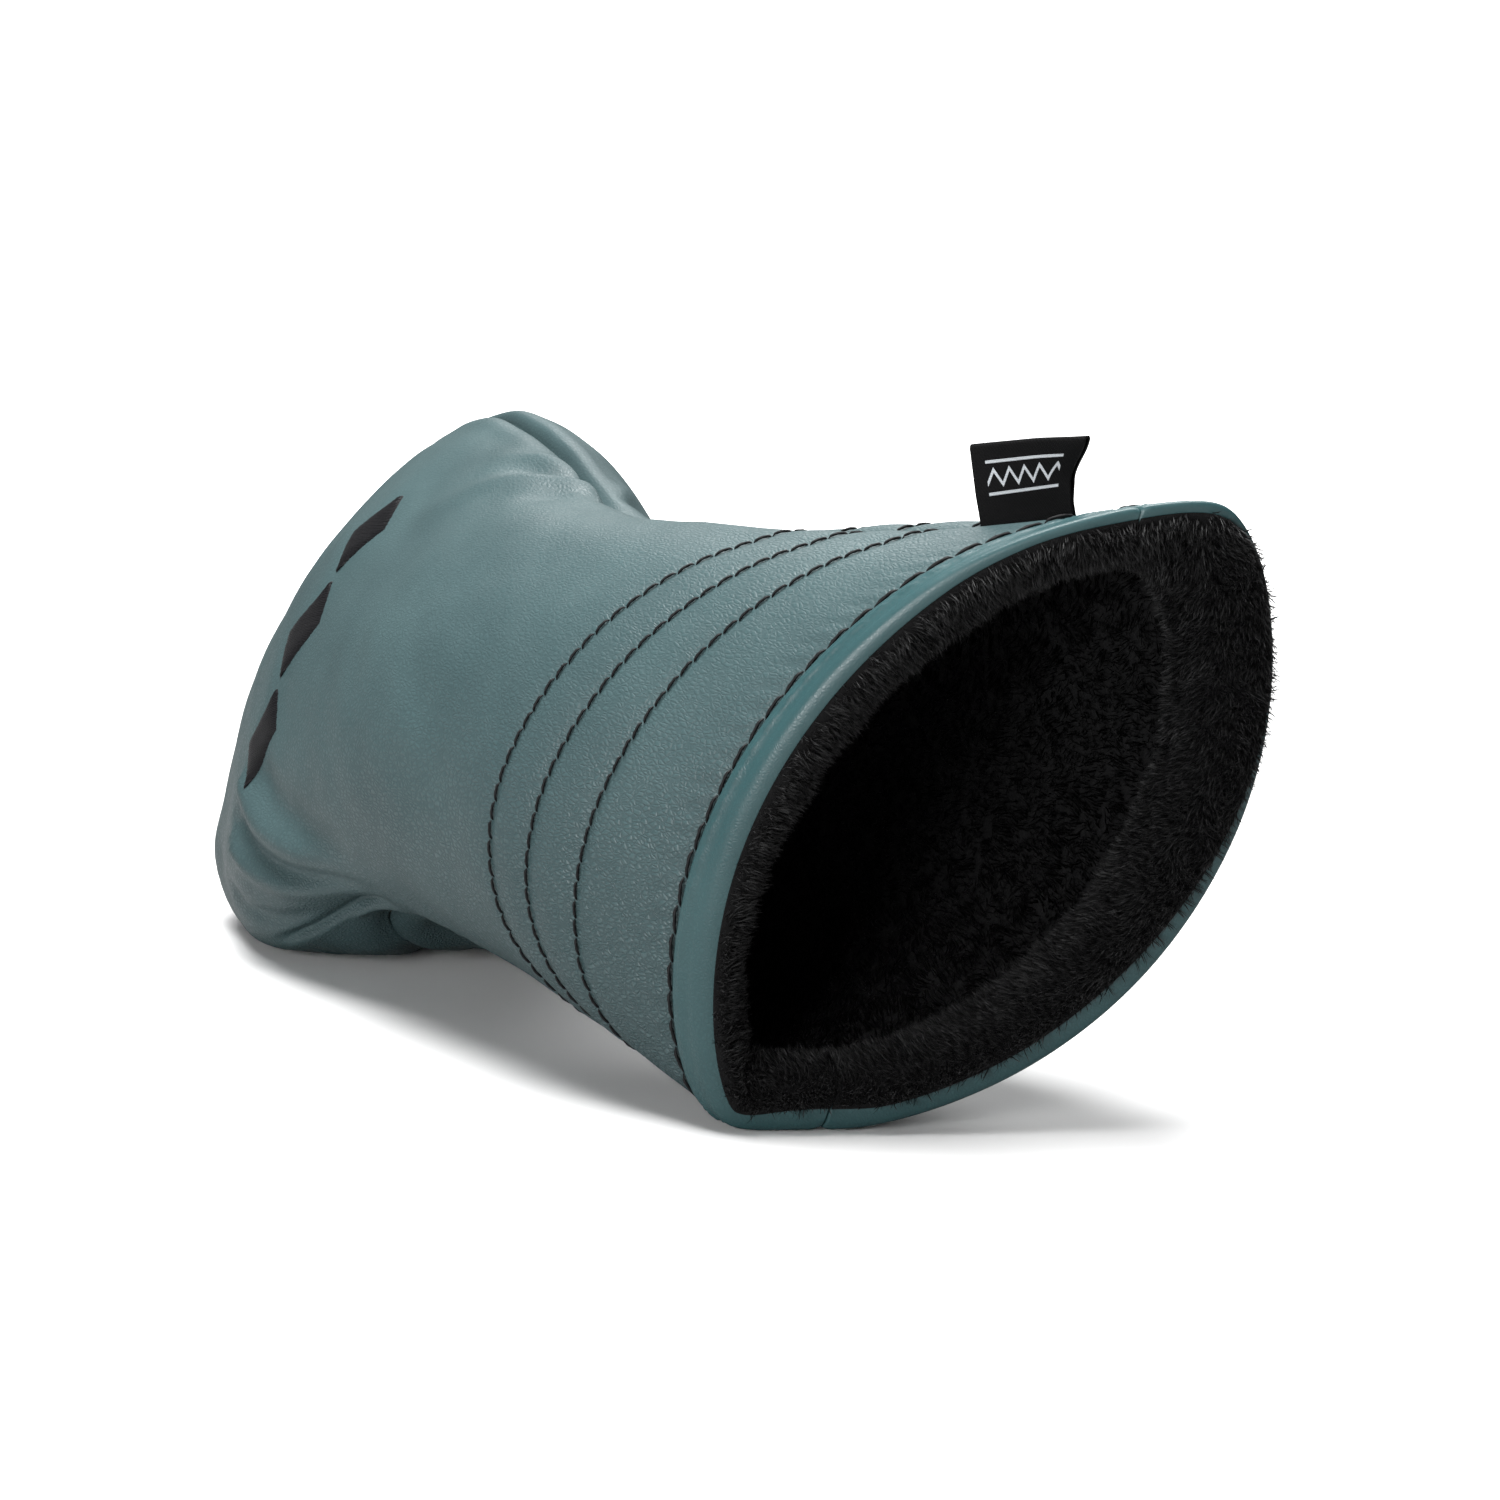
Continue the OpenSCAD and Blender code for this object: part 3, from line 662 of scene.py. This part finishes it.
# binding: a strip rolled over the mouth's edge
bindingRoll = {
    # (distance past the mouth's edge, depth below the leather's face) across the strip
    "profile": [(-5.1, 0.25), (-5.0, -0.40), (-4.6, -0.82), (-3.9, -0.95), (-3.2, -1.22), (-2.6, -0.95),
                (-1.7, -0.88), (-0.7, -1.08), (0.25, -1.02), (0.85, -0.45), (1.15, 0.5), (1.2, 1.7),
                (1.1, 3.0), (0.9, 4.0)],
    "thick": 0.85, "across": 34, "columns": 300, "endGap": 0.3,
    "lipAt": -3.2, "lipWidth": 0.6,  # the ridge that puckers
    "pucker": 0.14, "puckerPitch": 0.95, "crossPitch": 1.31, "pull": 0.10,
    "tuck": 0.5, "tuckWidth": 0.9, "tuckDepth": 2.5, "mmPerDegree": 0.83,  # the strip's ends tuck in at the seams
}
br = bindingRoll


def smoothLine(points, n):  # Catmull-Rom through the points, evenly spread
    p = np.asarray(points, float)
    q = np.vstack([2 * p[0] - p[1], p, 2 * p[-1] - p[-2]])
    out = []
    for i in range(1, len(q) - 2):
        u = np.linspace(0, 1, 12, endpoint=False)[:, None]
        a, b, c, d = q[i - 1], q[i], q[i + 1], q[i + 2]
        out.append(0.5 * (2 * b + (c - a) * u + (2 * a - 5 * b + 4 * c - d) * u**2 + (3 * b - a - 3 * c + d) * u**3))
    line = np.vstack(out + [p[-1:]])
    s = np.r_[0, np.cumsum(np.linalg.norm(np.diff(line, axis=0), axis=1))]
    want = np.linspace(0, s[-1], n)
    return np.stack([np.interp(want, s, line[:, k]) for k in range(2)], -1)


def bindingGrid(side, profile, puckered):
    t = turns(side, br["columns"], br["endGap"])[None]
    x, d = (cs["coverLen"] + profile[:, 0])[:, None], profile[:, 1][:, None]
    row = stitchRows["edge_thread"]
    turn = np.interp(t, row["t"], row["arc"]) * 2 * math.pi
    lip = hump(profile[:, 0] - br["lipAt"], br["lipWidth"])[:, None]
    wave = 0.5 * np.cos(turn / br["puckerPitch"]) + 0.5 * np.cos(turn / br["crossPitch"] + 1)
    d = d + puckered * lip * (br["pucker"] * wave - br["pull"] * np.cos(turn / row["pitch"]))
    fromEnd = np.minimum(np.abs(t), 180 - np.abs(t)) * br["mmPerDegree"]
    d = d + br["tuck"] * hump(fromEnd, br["tuckWidth"]) * (d < br["tuckDepth"])
    return softPoint(x, t, d, 0.0)


for side in ("front", "back"):
    face = smoothLine(br["profile"], br["across"])
    tangent = unit(np.gradient(face, axis=0))
    under = face + np.stack([-tangent[:, 1], tangent[:, 0]], -1) * br["thick"]
    outer, inner = bindingGrid(side, face, 1.0), bindingGrid(side, under, 0.0)
    obj = shellObject(side + "_binding_strip", outer, inner, 60)
    addMaterial(obj, bindingLeather)
    pieces[side + "_binding"] = obj
print("binding and elastic made")

# plush lining with its roll at the mouth, and pile on it
liningShape = {
    "columns": 130, "bodyStep": 2.0, "endGap": 0.3, "rollRows": 34,
    "wave": 0.5, "waveScale": 17.0, "fine": 0.25, "fineScale": 6.0,
    # the roll round the mouth: depth of its outer edge, how far it stands out
    "far": {"edge": 0.1, "proud": 2.3, "slant": False},
    "low": {"edge": 2.4, "proud": 1.9, "slant": False},
    "near": {"edge": 0.6, "proud": 1.6, "slant": True},
    "top": {"edge": 1.7, "proud": 1.6, "slant": False},
}
rollX = cs["coverLen"] - cs["rollW"]
mouthX = cs["coverLen"]


def rollProfile(shape):  # face and back of the plush roll, from the groove to its outer edge
    e, out = shape["edge"], mouthX + shape["proud"]
    face = [(rollX - 3.0, plushIn - 0.1), (rollX - 1.8, plushIn - 0.9), (rollX - 0.9, plushIn - cs["rollGroove"]),
            (rollX, plushIn - 0.2), (rollX + 1.4, plushIn + 1.2), (rollX + 4.5, plushIn + cs["rollT"])]
    if shape["slant"]:
        face += [(mouthX - 2.6, plushIn + 0.5), (mouthX - 0.9, plushIn - 1.7), (mouthX + 0.4, plushIn - 3.6)]
    else:
        face += [(mouthX - 1.6, plushIn + 1.3), (mouthX + 0.6, plushIn + 0.1), (mouthX + 1.9, plushIn - 1.9)]
    face += [(out, e + 2.4), (out, e + 1.1), (out - 0.4, e + 0.2), (mouthX + 1.35, e + 0.3)]
    under = plushOut + 0.05
    back = [(min(v[0], mouthX + 0.6), under) for v in face[:8]] + [(mouthX + 0.9, under - 0.1)]
    back += [(mouthX + 1.28, e + up) for up in (2.0, 1.3, 0.7, 0.35)]
    return np.stack([smoothLine(line, liningShape["rollRows"]) for line in (face, back)])


def liningGrids(side):
    t = turns(side, liningShape["columns"], liningShape["endGap"])[None]
    crown = panelX()[:panelGrid["crownRows"]:2]
    body = np.r_[crown, np.arange(cs["headX"], rollX - 4, liningShape["bodyStep"])][:, None]
    if side == "back":
        parts = {"low": ramp(t, 72, 140), "top": 1 - ramp(t, 14, 58)}
        parts["far"] = 1 - parts["low"] - parts["top"]
    else:
        parts = {"low": ramp(-t, 140, 178), "top": 1 - ramp(-t, 0, 22)}
        parts["near"] = 1 - parts["low"] - parts["top"]
    one = np.ones_like(t)

    def rolled(face, k):
        return sum(rollProfile(liningShape[name])[face, :, k][:, None] * amount for name, amount in parts.items())

    xi = np.concatenate([deeper(body, plushIn) * one, rolled(0, 0)])
    di = np.concatenate([np.full(body.shape, plushIn) * one, rolled(0, 1)])
    xo = np.concatenate([deeper(body, plushOut) * one, rolled(1, 0)])
    do = np.concatenate([np.full(body.shape, plushOut + 0.05) * one, rolled(1, 1)])
    p = coverPoint(xi, t, di)
    wave = (liningShape["wave"] * unevenness(p, liningShape["waveScale"], 21)
            + liningShape["fine"] * unevenness(p, liningShape["fineScale"], 22))
    keep = 1 - ramp(xi, mouthX - 3, mouthX)
    return softPoint(xo, t, do, 0.0), softPoint(xi, t, di + wave * keep, 0.0), xi, parts.get("far", 0 * t)


def tuftMesh():  # four bent blades of unit length, their tips marked
    rng = np.random.default_rng(3)
    points, faces, tips = [], [], []
    for i in range(4):
        a = rng.uniform(0, 6.28)
        root = np.array([math.cos(a * 1.7), math.sin(a * 1.7), 0]) * rng.uniform(0.02, 0.16)
        out = np.array([math.cos(a), math.sin(a), 0]) * rng.uniform(0.12, 0.42)
        wide = np.array([-math.sin(a), math.cos(a), 0]) * 0.030
        high = rng.uniform(0.75, 1.05)
        n = len(points)
        points += [root - wide, root + wide, root + out * 0.35 + [0, 0, high * 0.6] + wide * 0.8,
                   root + out * 0.35 + [0, 0, high * 0.6] - wide * 0.8, root + out + [0, 0, high]]
        faces += [(n, n + 1, n + 2, n + 3), (n + 3, n + 2, n + 4)]
        tips += [0.0, 0.0, 0.6, 0.6, 1.0]
    mesh = bpy.data.meshes.new("pile_tuft")
    mesh.from_pydata([tuple(p) for p in points], [], faces)
    storeOnPoints(mesh, "tip", "FLOAT", tips)
    return mesh


def coated(g, gi, go, node):  # every tree ends in real geometry with its material
    real = put(g, "GeometryNodeRealizeInstances", {"Geometry": node.outputs[0]})
    coat = put(g, "GeometryNodeSetMaterial", {"Geometry": real.outputs[0], "Material": gi.outputs["Material"]})
    feed(g, go, {"Geometry": coat.outputs[0]})
    return g


def makePileTree():
    g, gi, go = newGroup("pileOnCloth", "GeometryNodeTree",
                         [("Geometry", "Geometry", None), ("Tuft", "Object", None),
                          ("Tufts per square metre", "Float", 1.0e6), ("Length", "Float", 0.003),
                          ("Lean", "Float", 0.5), ("Seed", "Int", 1), ("Material", "Material", None)],
                         [("Geometry", "Geometry")])
    seed = gi.outputs["Seed"]
    amount = put(g, "GeometryNodeInputNamedAttribute", {"Name": "pileAmount"}, data_type="FLOAT")
    density = math2(g, "MULTIPLY", amount.outputs[0], gi.outputs["Tufts per square metre"])
    spread = put(g, "GeometryNodeDistributePointsOnFaces",
                 {"Mesh": gi.outputs["Geometry"], "Seed": seed, "Density": density})
    place = put(g, "GeometryNodeInputPosition").outputs[0]
    sway = vectorMath(g, "SUBTRACT", noise(g, place, 240.0, 2.0)["Color"], (0.5, 0.5, 0.5))
    comb = put(g, "GeometryNodeInputNamedAttribute", {"Name": "combed"}, data_type="FLOAT_VECTOR")
    lay = vectorMath(g, "ADD", vectorMath(g, "SCALE", sway, 4.0), comb.outputs[0])
    aim = vectorMath(g, "ADD", spread.outputs["Normal"], vectorMath(g, "SCALE", lay, gi.outputs["Lean"]))
    turn = put(g, "FunctionNodeAlignRotationToVector", {"Vector": aim}, axis="Z")
    spin = put(g, "FunctionNodeRandomValue", {2: 0.0, 3: 6.283, "Seed": seed}, data_type="FLOAT")
    about = put(g, "ShaderNodeCombineXYZ", {2: spin.outputs[1]})
    turn = put(g, "FunctionNodeRotateRotation", {0: turn.outputs[0], 1: about.outputs[0]}, rotation_space="LOCAL")
    size = put(g, "FunctionNodeRandomValue", {2: 0.7, 3: 1.15, "Seed": 9}, data_type="FLOAT")
    size = math2(g, "MULTIPLY", size.outputs[1], gi.outputs["Length"])
    tuft = put(g, "GeometryNodeObjectInfo", {"Object": gi.outputs["Tuft"]})
    inst = put(g, "GeometryNodeInstanceOnPoints",
               {"Points": spread.outputs[0], "Instance": tuft.outputs["Geometry"],
                "Rotation": turn.outputs[0], "Scale": size})
    tone = put(g, "FunctionNodeRandomValue", {2: 0.0, 3: 1.0, "Seed": 4}, data_type="FLOAT")
    mark = put(g, "GeometryNodeStoreNamedAttribute",
               {"Geometry": inst.outputs[0], "Name": "tone", "Value": tone.outputs[1]},
               data_type="FLOAT", domain="INSTANCE")
    return coated(g, gi, go, mark)


def grown(name, source, tree, values):  # runs a node tree on a source and keeps the plain mesh
    mod = source.modifiers.new("grow", "NODES")
    mod.node_group = tree
    names = {item.name: item.identifier for item in tree.interface.items_tree if item.in_out == "INPUT"}
    for key, value in values.items():
        mod[names[key]] = value
    source.update_tag()
    graph = bpy.context.evaluated_depsgraph_get()
    mesh = bpy.data.meshes.new_from_object(source.evaluated_get(graph),
                                           preserve_all_data_layers=True, depsgraph=graph)
    source.modifiers.remove(mod)
    mesh.name = name
    bpy.data.objects.remove(source)
    return newObject(name, mesh)


pileTree = makePileTree()
tuft = newObject("pile_tuft", tuftMesh())
pileZones = {  # start and stop: where the pile fades in and out along the lining
    "roll": {"density": 4.4e6, "length": 0.0021, "lean": 0.6, "seed": 11, "material": rollPile,
             "start": (rollX - 1.2, rollX + 0.2), "thin": 0.9, "thinRows": (0.972, 0.995),
             "combIn": 0.8, "combFar": 0.9, "combRound": 0.5},
    "inside": {"density": 1.1e6, "length": 0.0026, "lean": 0.8, "seed": 12, "material": insidePileShaded,
               "start": (92, 165), "stop": (rollX - 1.6, rollX - 0.6), "combOut": 0.7},
}
pileParts = {}
for side in ("front", "back"):
    outer, inner, xi, isFar = liningGrids(side)
    obj = shellObject(side + "_plush_lining", outer, inner, 80)
    addMaterial(obj, plush)
    pieces[side + "_lining"] = obj
    m, n = inner.shape[:2]
    lengthways, around = unit(np.gradient(inner, axis=0)), unit(np.gradient(inner, axis=1))
    row = np.arange(m)[:, None] / (m - 1)
    for zone, z in pileZones.items():
        amount = ramp(xi, *z["start"])
        if zone == "roll":  # thinner at the binding, where the nap lies inward
            amount = amount * (1 - z["thin"] * ramp(row, *z["thinRows"]) * (1 - isFar))
            combed = lengthways * (z["combFar"] * isFar - z["combIn"])[..., None] + around * z["combRound"]
        else:
            amount = amount * (1 - ramp(xi, *z["stop"]))
            combed = lengthways * z["combOut"]
        mesh = meshFrom("pile_bed", inner, gridFaces(m, n)[:, ::-1])
        storeOnPoints(mesh, "pileAmount", "FLOAT", np.broadcast_to(amount, (m, n)))
        storeOnPoints(mesh, "combed", "FLOAT_VECTOR", combed)
        pileParts[(side, zone)] = grown(
            f"{side}_{zone}_pile", newObject("pile_bed", mesh), pileTree,
            {"Tuft": tuft, "Tufts per square metre": z["density"], "Length": z["length"], "Lean": z["lean"],
             "Seed": z["seed"], "Material": z["material"]})
bpy.data.objects.remove(tuft)
print("lining and pile made", {k[0] + k[1]: len(v.data.polygons) for k, v in pileParts.items()})


# stitches along their rows
def stitchMesh(length, thick):  # one twisted stitch along X that dives at both ends
    rings, sides = 9, 6
    points, faces = [], []
    for i in range(rings):
        u = i / (rings - 1) * 2 - 1
        fat = thick / 2 * (0.3 + 0.7 * math.sqrt(max(0, 1 - abs(u) ** 3)))
        high = thick * 0.42 * (1 - abs(u) ** 2.6) - thick * 0.62 * abs(u) ** 6
        for j in range(sides):
            a = j / sides * 2 * math.pi + i * 0.62
            r = fat * (1.0 if j % 2 else 0.74)
            points.append((u * length / 2, r * math.cos(a), high + r * math.sin(a)))
    for i in range(rings - 1):
        for j in range(sides):
            k = (j + 1) % sides
            faces.append((i * sides + j, (i + 1) * sides + j, (i + 1) * sides + k, i * sides + k))
    faces.append(tuple(range(sides)))
    faces.append(tuple((rings - 1) * sides + j for j in reversed(range(sides))))
    mesh = bpy.data.meshes.new("stitch")
    mesh.from_pydata([tuple(c * mm for c in p) for p in points], [], [f[::-1] for f in faces])
    mesh.polygons.foreach_set("use_smooth", np.ones(len(mesh.polygons), bool))
    return mesh


def makeStitchTree():
    g, gi, go = newGroup("stitchesAlongRow", "GeometryNodeTree",
                         [("Geometry", "Geometry", None), ("Stitch", "Object", None), ("Pitch", "Float", 0.0032),
                          ("Tilt", "Float", 0.1), ("Seed", "Int", 1), ("Material", "Material", None)],
                         [("Geometry", "Geometry")])
    path = put(g, "GeometryNodeMeshToCurve", {"Mesh": gi.outputs["Geometry"]})
    steps = put(g, "GeometryNodeResampleCurve", {"Curve": path.outputs[0], "Length": gi.outputs["Pitch"]},
                mode="LENGTH")
    up = put(g, "GeometryNodeInputNamedAttribute", {"Name": "faceUp"}, data_type="FLOAT_VECTOR")
    tangent = put(g, "GeometryNodeInputTangent")
    turn = put(g, "FunctionNodeAlignRotationToVector", {"Vector": tangent.outputs[0]}, axis="X")
    turn = put(g, "FunctionNodeAlignRotationToVector", {"Rotation": turn.outputs[0], "Vector": up.outputs[0]},
               axis="Z", pivot_axis="X")
    jitter = put(g, "FunctionNodeRandomValue", {2: -0.06, 3: 0.06, "Seed": gi.outputs["Seed"]}, data_type="FLOAT")
    about = put(g, "ShaderNodeCombineXYZ", {2: math2(g, "ADD", jitter.outputs[1], gi.outputs["Tilt"])})
    turn = put(g, "FunctionNodeRotateRotation", {0: turn.outputs[0], 1: about.outputs[0]}, rotation_space="LOCAL")
    stitch = put(g, "GeometryNodeObjectInfo", {"Object": gi.outputs["Stitch"]})
    inst = put(g, "GeometryNodeInstanceOnPoints",
               {"Points": steps.outputs[0], "Instance": stitch.outputs["Geometry"], "Rotation": turn.outputs[0]})
    return coated(g, gi, go, inst)


def pathObject(name, runs):  # polylines with the surface's upward direction kept on their points
    points = np.concatenate([r[0] for r in runs])
    ups = np.concatenate([r[1] for r in runs])
    edges, start = [], 0
    for r in runs:
        edges += [(start + i, start + i + 1) for i in range(len(r[0]) - 1)]
        start += len(r[0])
    mesh = bpy.data.meshes.new(name)
    mesh.from_pydata((points * mm).tolist(), edges, [])
    storeOnPoints(mesh, "faceUp", "FLOAT_VECTOR", ups)
    return newObject(name, mesh)


stitchTree = makeStitchTree()
for i, (name, row) in enumerate(stitchRows.items()):
    stitch = newObject("stitch", stitchMesh(row["length"], row["thick"]))
    runs = []
    for side in ("front", "back"):
        t = turns(side, 400, 0.9)
        x = np.full_like(t, row["x"])
        up = outward(x, t)
        runs.append((softPoint(x, t) + up * row["lift"], up))
    pieces[name] = grown(name + "_stitches", pathObject(name + "_path", runs), stitchTree,
                         {"Stitch": stitch, "Pitch": row["pitch"] * mm, "Tilt": math.radians(row["tilt"]),
                          "Seed": 30 + i, "Material": thread})
    bpy.data.objects.remove(stitch)
print("stitches made")

# satin diamonds on the head
satinDiamonds = {
    "count": 3, "long": 19.0, "wide": 13.0, "gap": 3.0, "x": 64.0, "spacing": 0.40, "thick": 0.56, "rise": 0.55,
    "slant": 0.9, "seed": 41, "ragged": (-0.12, 0.18), "wander": 0.05, "shortest": 0.35, "points": 9,
}


def makeThreadTree():
    g, gi, go = newGroup("threadTubes", "GeometryNodeTree",
                         [("Geometry", "Geometry", None), ("Thickness", "Float", 0.0005),
                          ("Sides", "Int", 6), ("Material", "Material", None)], [("Geometry", "Geometry")])
    path = put(g, "GeometryNodeMeshToCurve", {"Mesh": gi.outputs["Geometry"]})
    radius = math2(g, "MULTIPLY", gi.outputs["Thickness"], 0.5)
    ring = put(g, "GeometryNodeCurvePrimitiveCircle", {"Resolution": gi.outputs["Sides"], "Radius": radius})
    tube = put(g, "GeometryNodeCurveToMesh",
               {"Curve": path.outputs[0], "Profile Curve": ring.outputs[0], "Fill Caps": True})
    return coated(g, gi, go, tube)


sd = satinDiamonds
rng = np.random.default_rng(sd["seed"])
perMm = 180 / (math.pi * cs["headW"] / 2)
runs = []
for k in range(sd["count"]):
    middle = -90 - cs["headSeam"] + (k - (sd["count"] - 1) / 2) * (sd["long"] + sd["gap"]) * perMm
    for s in np.arange(-sd["long"] / 2 + 0.3, sd["long"] / 2 - 0.2, sd["spacing"]):
        half = sd["wide"] / 2 * (1 - abs(s) / (sd["long"] / 2)) + rng.uniform(*sd["ragged"])
        if half < sd["shortest"]:
            continue
        u = np.linspace(-1, 1, sd["points"])
        x = sd["x"] + u * half
        t = middle + (s + u * sd["slant"] + rng.uniform(-sd["wander"], sd["wander"])) * perMm
        dome = sd["rise"] * (1 - np.abs(u) ** 2.2) * (0.45 + 0.55 * min(1, half / 3.5))
        dome = dome - 0.05 - 0.25 * np.abs(u) ** 8  # the ends dive into the leather
        up = outward(x, t)
        runs.append((softPoint(x, t) + up * dome[:, None], up))
pieces["crown_embroidery"] = grown("crown_satin_diamonds", pathObject("satin_path", runs), makeThreadTree(),
                                   {"Thickness": sd["thick"] * mm, "Sides": 6, "Material": satin})
print("embroidery made")

# folded woven label in the top seam
wovenLabel = {
    "wide": 20.0, "high": 10.9, "layer": 0.42, "open": 0.5, "sunk": 2.8, "columns": 60, "rows": 26, "foldRows": 9,
    "footShare": 0.90, "slopeUp": 0.4, "slopeDown": 1.1,  # narrower at its foot and out of square
    "cornerOut": 4.6, "cornerBack": 2.2, "cornerDown": 0.6, "cup": 1.05, "wave": 0.35,  # one corner is pulled over
    "bendFrom": -0.5, "bendTo": 5.5,
    "hinge": (98.5304, 19.8911, 97.0446), "along": (0.916446, 0.348127, 0.197316),
}
wl = wovenLabel
alongSeam = np.array(wl["along"])
upright = np.array([0, 0, 1.0]) - alongSeam[2] * alongSeam
upright /= np.linalg.norm(upright)
through = np.cross(upright, alongSeam)


def labelPoint(u, v, w):  # along the seam, up, and through the label, mm
    s, h = u / wl["wide"] + 0.5, np.clip(v / wl["high"], 0, 1.2)
    corner = ramp(s, 0.62, 1.02) * ramp(h, 0.30, 1.0)
    uu = u * (wl["footShare"] + (1 - wl["footShare"]) * h) + wl["cornerOut"] * corner + wl["slopeUp"] * h
    vv = v - wl["cornerDown"] * corner - wl["slopeDown"] * s * h
    ww = (w - wl["cup"] * (2 * s - 1) ** 2 * (1 - h) - wl["cornerBack"] * corner
          + wl["wave"] * np.sin(s * 5.0 + 0.6) * h)
    return np.array(wl["hinge"]) + uu[..., None] * alongSeam + vv[..., None] * upright + ww[..., None] * through


half = wl["open"] / 2 + wl["layer"]
rise = np.linspace(-wl["sunk"], wl["high"] - half, wl["rows"])
bend = np.linspace(0, math.pi, wl["foldRows"] + 2)[1:-1]


def foldLine(r):  # up one layer, over the fold and down the other: height, and place through the label
    return (np.r_[rise, wl["high"] - half + r * np.sin(bend), rise[::-1]],
            np.r_[np.full(len(rise), -r), -r * np.cos(bend), np.full(len(rise), r)])


pinch = np.clip((rise + 1.0) / 4, 0.25, 1)  # the layers close up in the seam
squeeze = np.r_[pinch, np.ones(len(bend)), pinch[::-1]]
faceV, faceW = foldLine(half)
backV, backW = foldLine(half - wl["layer"])
faceW = faceW * np.where(squeeze < 1, 0.55 + 0.45 * squeeze, 1)
backW = backW * squeeze
u = np.linspace(-wl["wide"] / 2, wl["wide"] / 2, wl["columns"])
outer = labelPoint(*np.broadcast_arrays(u[None], faceV[:, None], faceW[:, None]))
inner = labelPoint(*np.broadcast_arrays(u[None], backV[:, None], backW[:, None]))
label = shellObject("folded_woven_label", outer, inner, 60)
uv = np.stack(np.broadcast_arrays(u[None], faceV[:, None]), -1).reshape(-1, 2)
addUv(label, np.concatenate([uv, uv * [1, 0] + [0, -3.0]]))  # the inside carries no motif
addMaterial(label, labelWeave)
pieces["label_tab"] = label
print("label made")

# what each piece rides on and stands for
for node, obj in pieces.items():
    if node == "label_tab":  # sewn in at its foot; its place is baked into its mesh, not attached to the cover
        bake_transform(obj)
    else:
        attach(obj, "cover")
    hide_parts(node)
for obj in pileParts.values():
    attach(obj, "cover")

# floor, light and camera
studio = {
    "floorSize": 30.0, "floorBounce": (0.34, 0.34, 0.34, 1), "floorSeen": (0.93, 0.93, 0.93, 1),
    # painted light: the floor glows for the camera only, none near the cover and more further out, so the far floor
    # reads white
    "paintedLight": 1.1, "paintedLightFrom": 0.11, "paintedLightFull": 0.5, "paintedLightShape": (0.62, 1.0, 1.0),
    "world": 0.05, "shine": 0.18,
    "lights": {  # place, aim, size and power
        "top_softbox": ((0.06, -0.12, 1.14), (0.0, 0.0, 0.04), (0.8, 0.6), 27.5),
        "front_fill": ((0.55, -1.0, 0.30), (0.04, 0.0, 0.04), (0.8, 0.5), 0.2),
        "low_fill": ((0.28, -0.42, 0.14), (0.04, -0.03, 0.035), (0.26, 0.2), 1.6),
        "back_softbox": ((-0.55, 0.50, 0.80), (-0.02, 0.0, 0.04), (1.0, 0.6), 6.2),
    },
}


def makeFloor():
    mat, tree, shader, where = newMaterial("pale_floor")
    drawn = vectorMath(tree, "MULTIPLY", where, studio["paintedLightShape"])
    far = put(tree, "ShaderNodeVectorMath", {0: drawn}, operation="LENGTH").outputs["Value"]
    # painted light: a glow seen only by the camera, rising with distance from the cover
    paintedLight = mapped(tree, far, studio["paintedLightFrom"], studio["paintedLightFull"], 0.0, studio["paintedLight"],
                  interpolation_type="SMOOTHSTEP")
    seen = put(tree, "ShaderNodeLightPath").outputs["Is Camera Ray"]  # the pale floor throws little light back
    feed(tree, shader, {
        "Base Color": mixColor(tree, seen, studio["floorBounce"], studio["floorSeen"]),
        "Roughness": 0.9, "Specular IOR Level": 0.1,
        "Emission Color": (1, 1, 1, 1), "Emission Strength": math2(tree, "MULTIPLY", paintedLight, seen),
    })
    s, low = studio["floorSize"], -ms["sag"] * mm
    mesh = bpy.data.meshes.new("floor")
    mesh.from_pydata([(-s, -s, low), (s, -s, low), (s, s, low), (-s, s, low)], [], [(0, 1, 2, 3)])
    mesh.materials.append(mat)
    return newObject("floor", mesh)


def areaLight(name, place, aim, size, power):
    data = bpy.data.lights.new(name, "AREA")
    data.shape, data.size, data.size_y = "RECTANGLE", size[0], size[1]
    data.energy = power
    obj = newObject(name, data)
    obj.location = place
    obj.rotation_euler = (Vector(aim) - Vector(place)).to_track_quat("-Z", "Y").to_euler()


makeFloor()
for name, light in studio["lights"].items():
    areaLight(name, *light)
world = bpy.data.worlds.new("studio")
bpy.context.scene.world = world
world.use_nodes = True
sky = world.node_tree
glossy = put(sky, "ShaderNodeLightPath").outputs["Is Glossy Ray"]  # the room is brighter in reflections
feed(sky, sky.nodes["Background"],
     {"Color": (1, 1, 1, 1), "Strength": mapped(sky, glossy, 0.0, 1.0, studio["world"], studio["shine"])})
bpy.context.scene.view_settings.view_transform = "Standard"

photoView = {"target": (1.65, 20.08, 43.60), "distance": 715.3, "fov": 20.692, "azimuth": 63.67,
             "elevation": 10.914, "roll": -0.8}  # mm and degrees
pv = photoView
az, el = math.radians(pv["azimuth"]), math.radians(pv["elevation"])
back = Vector((math.sin(az) * math.cos(el), -math.cos(az) * math.cos(el), math.sin(el)))
lens = bpy.data.cameras.new("photo_camera")
lens.sensor_width = 36.0
lens.lens = lens.sensor_width / 2 / math.tan(math.radians(pv["fov"] / 2))
lens.clip_start, lens.clip_end = 0.05, 100.0
camera = newObject("photo_camera", lens)
camera.location = Vector(pv["target"]) * mm + back * pv["distance"] * mm
roll = Quaternion((0, 0, 1), math.radians(pv["roll"]))
camera.rotation_euler = ((-back).to_track_quat("-Z", "Y") @ roll).to_euler()
bpy.context.scene.camera = camera

print("scene made")
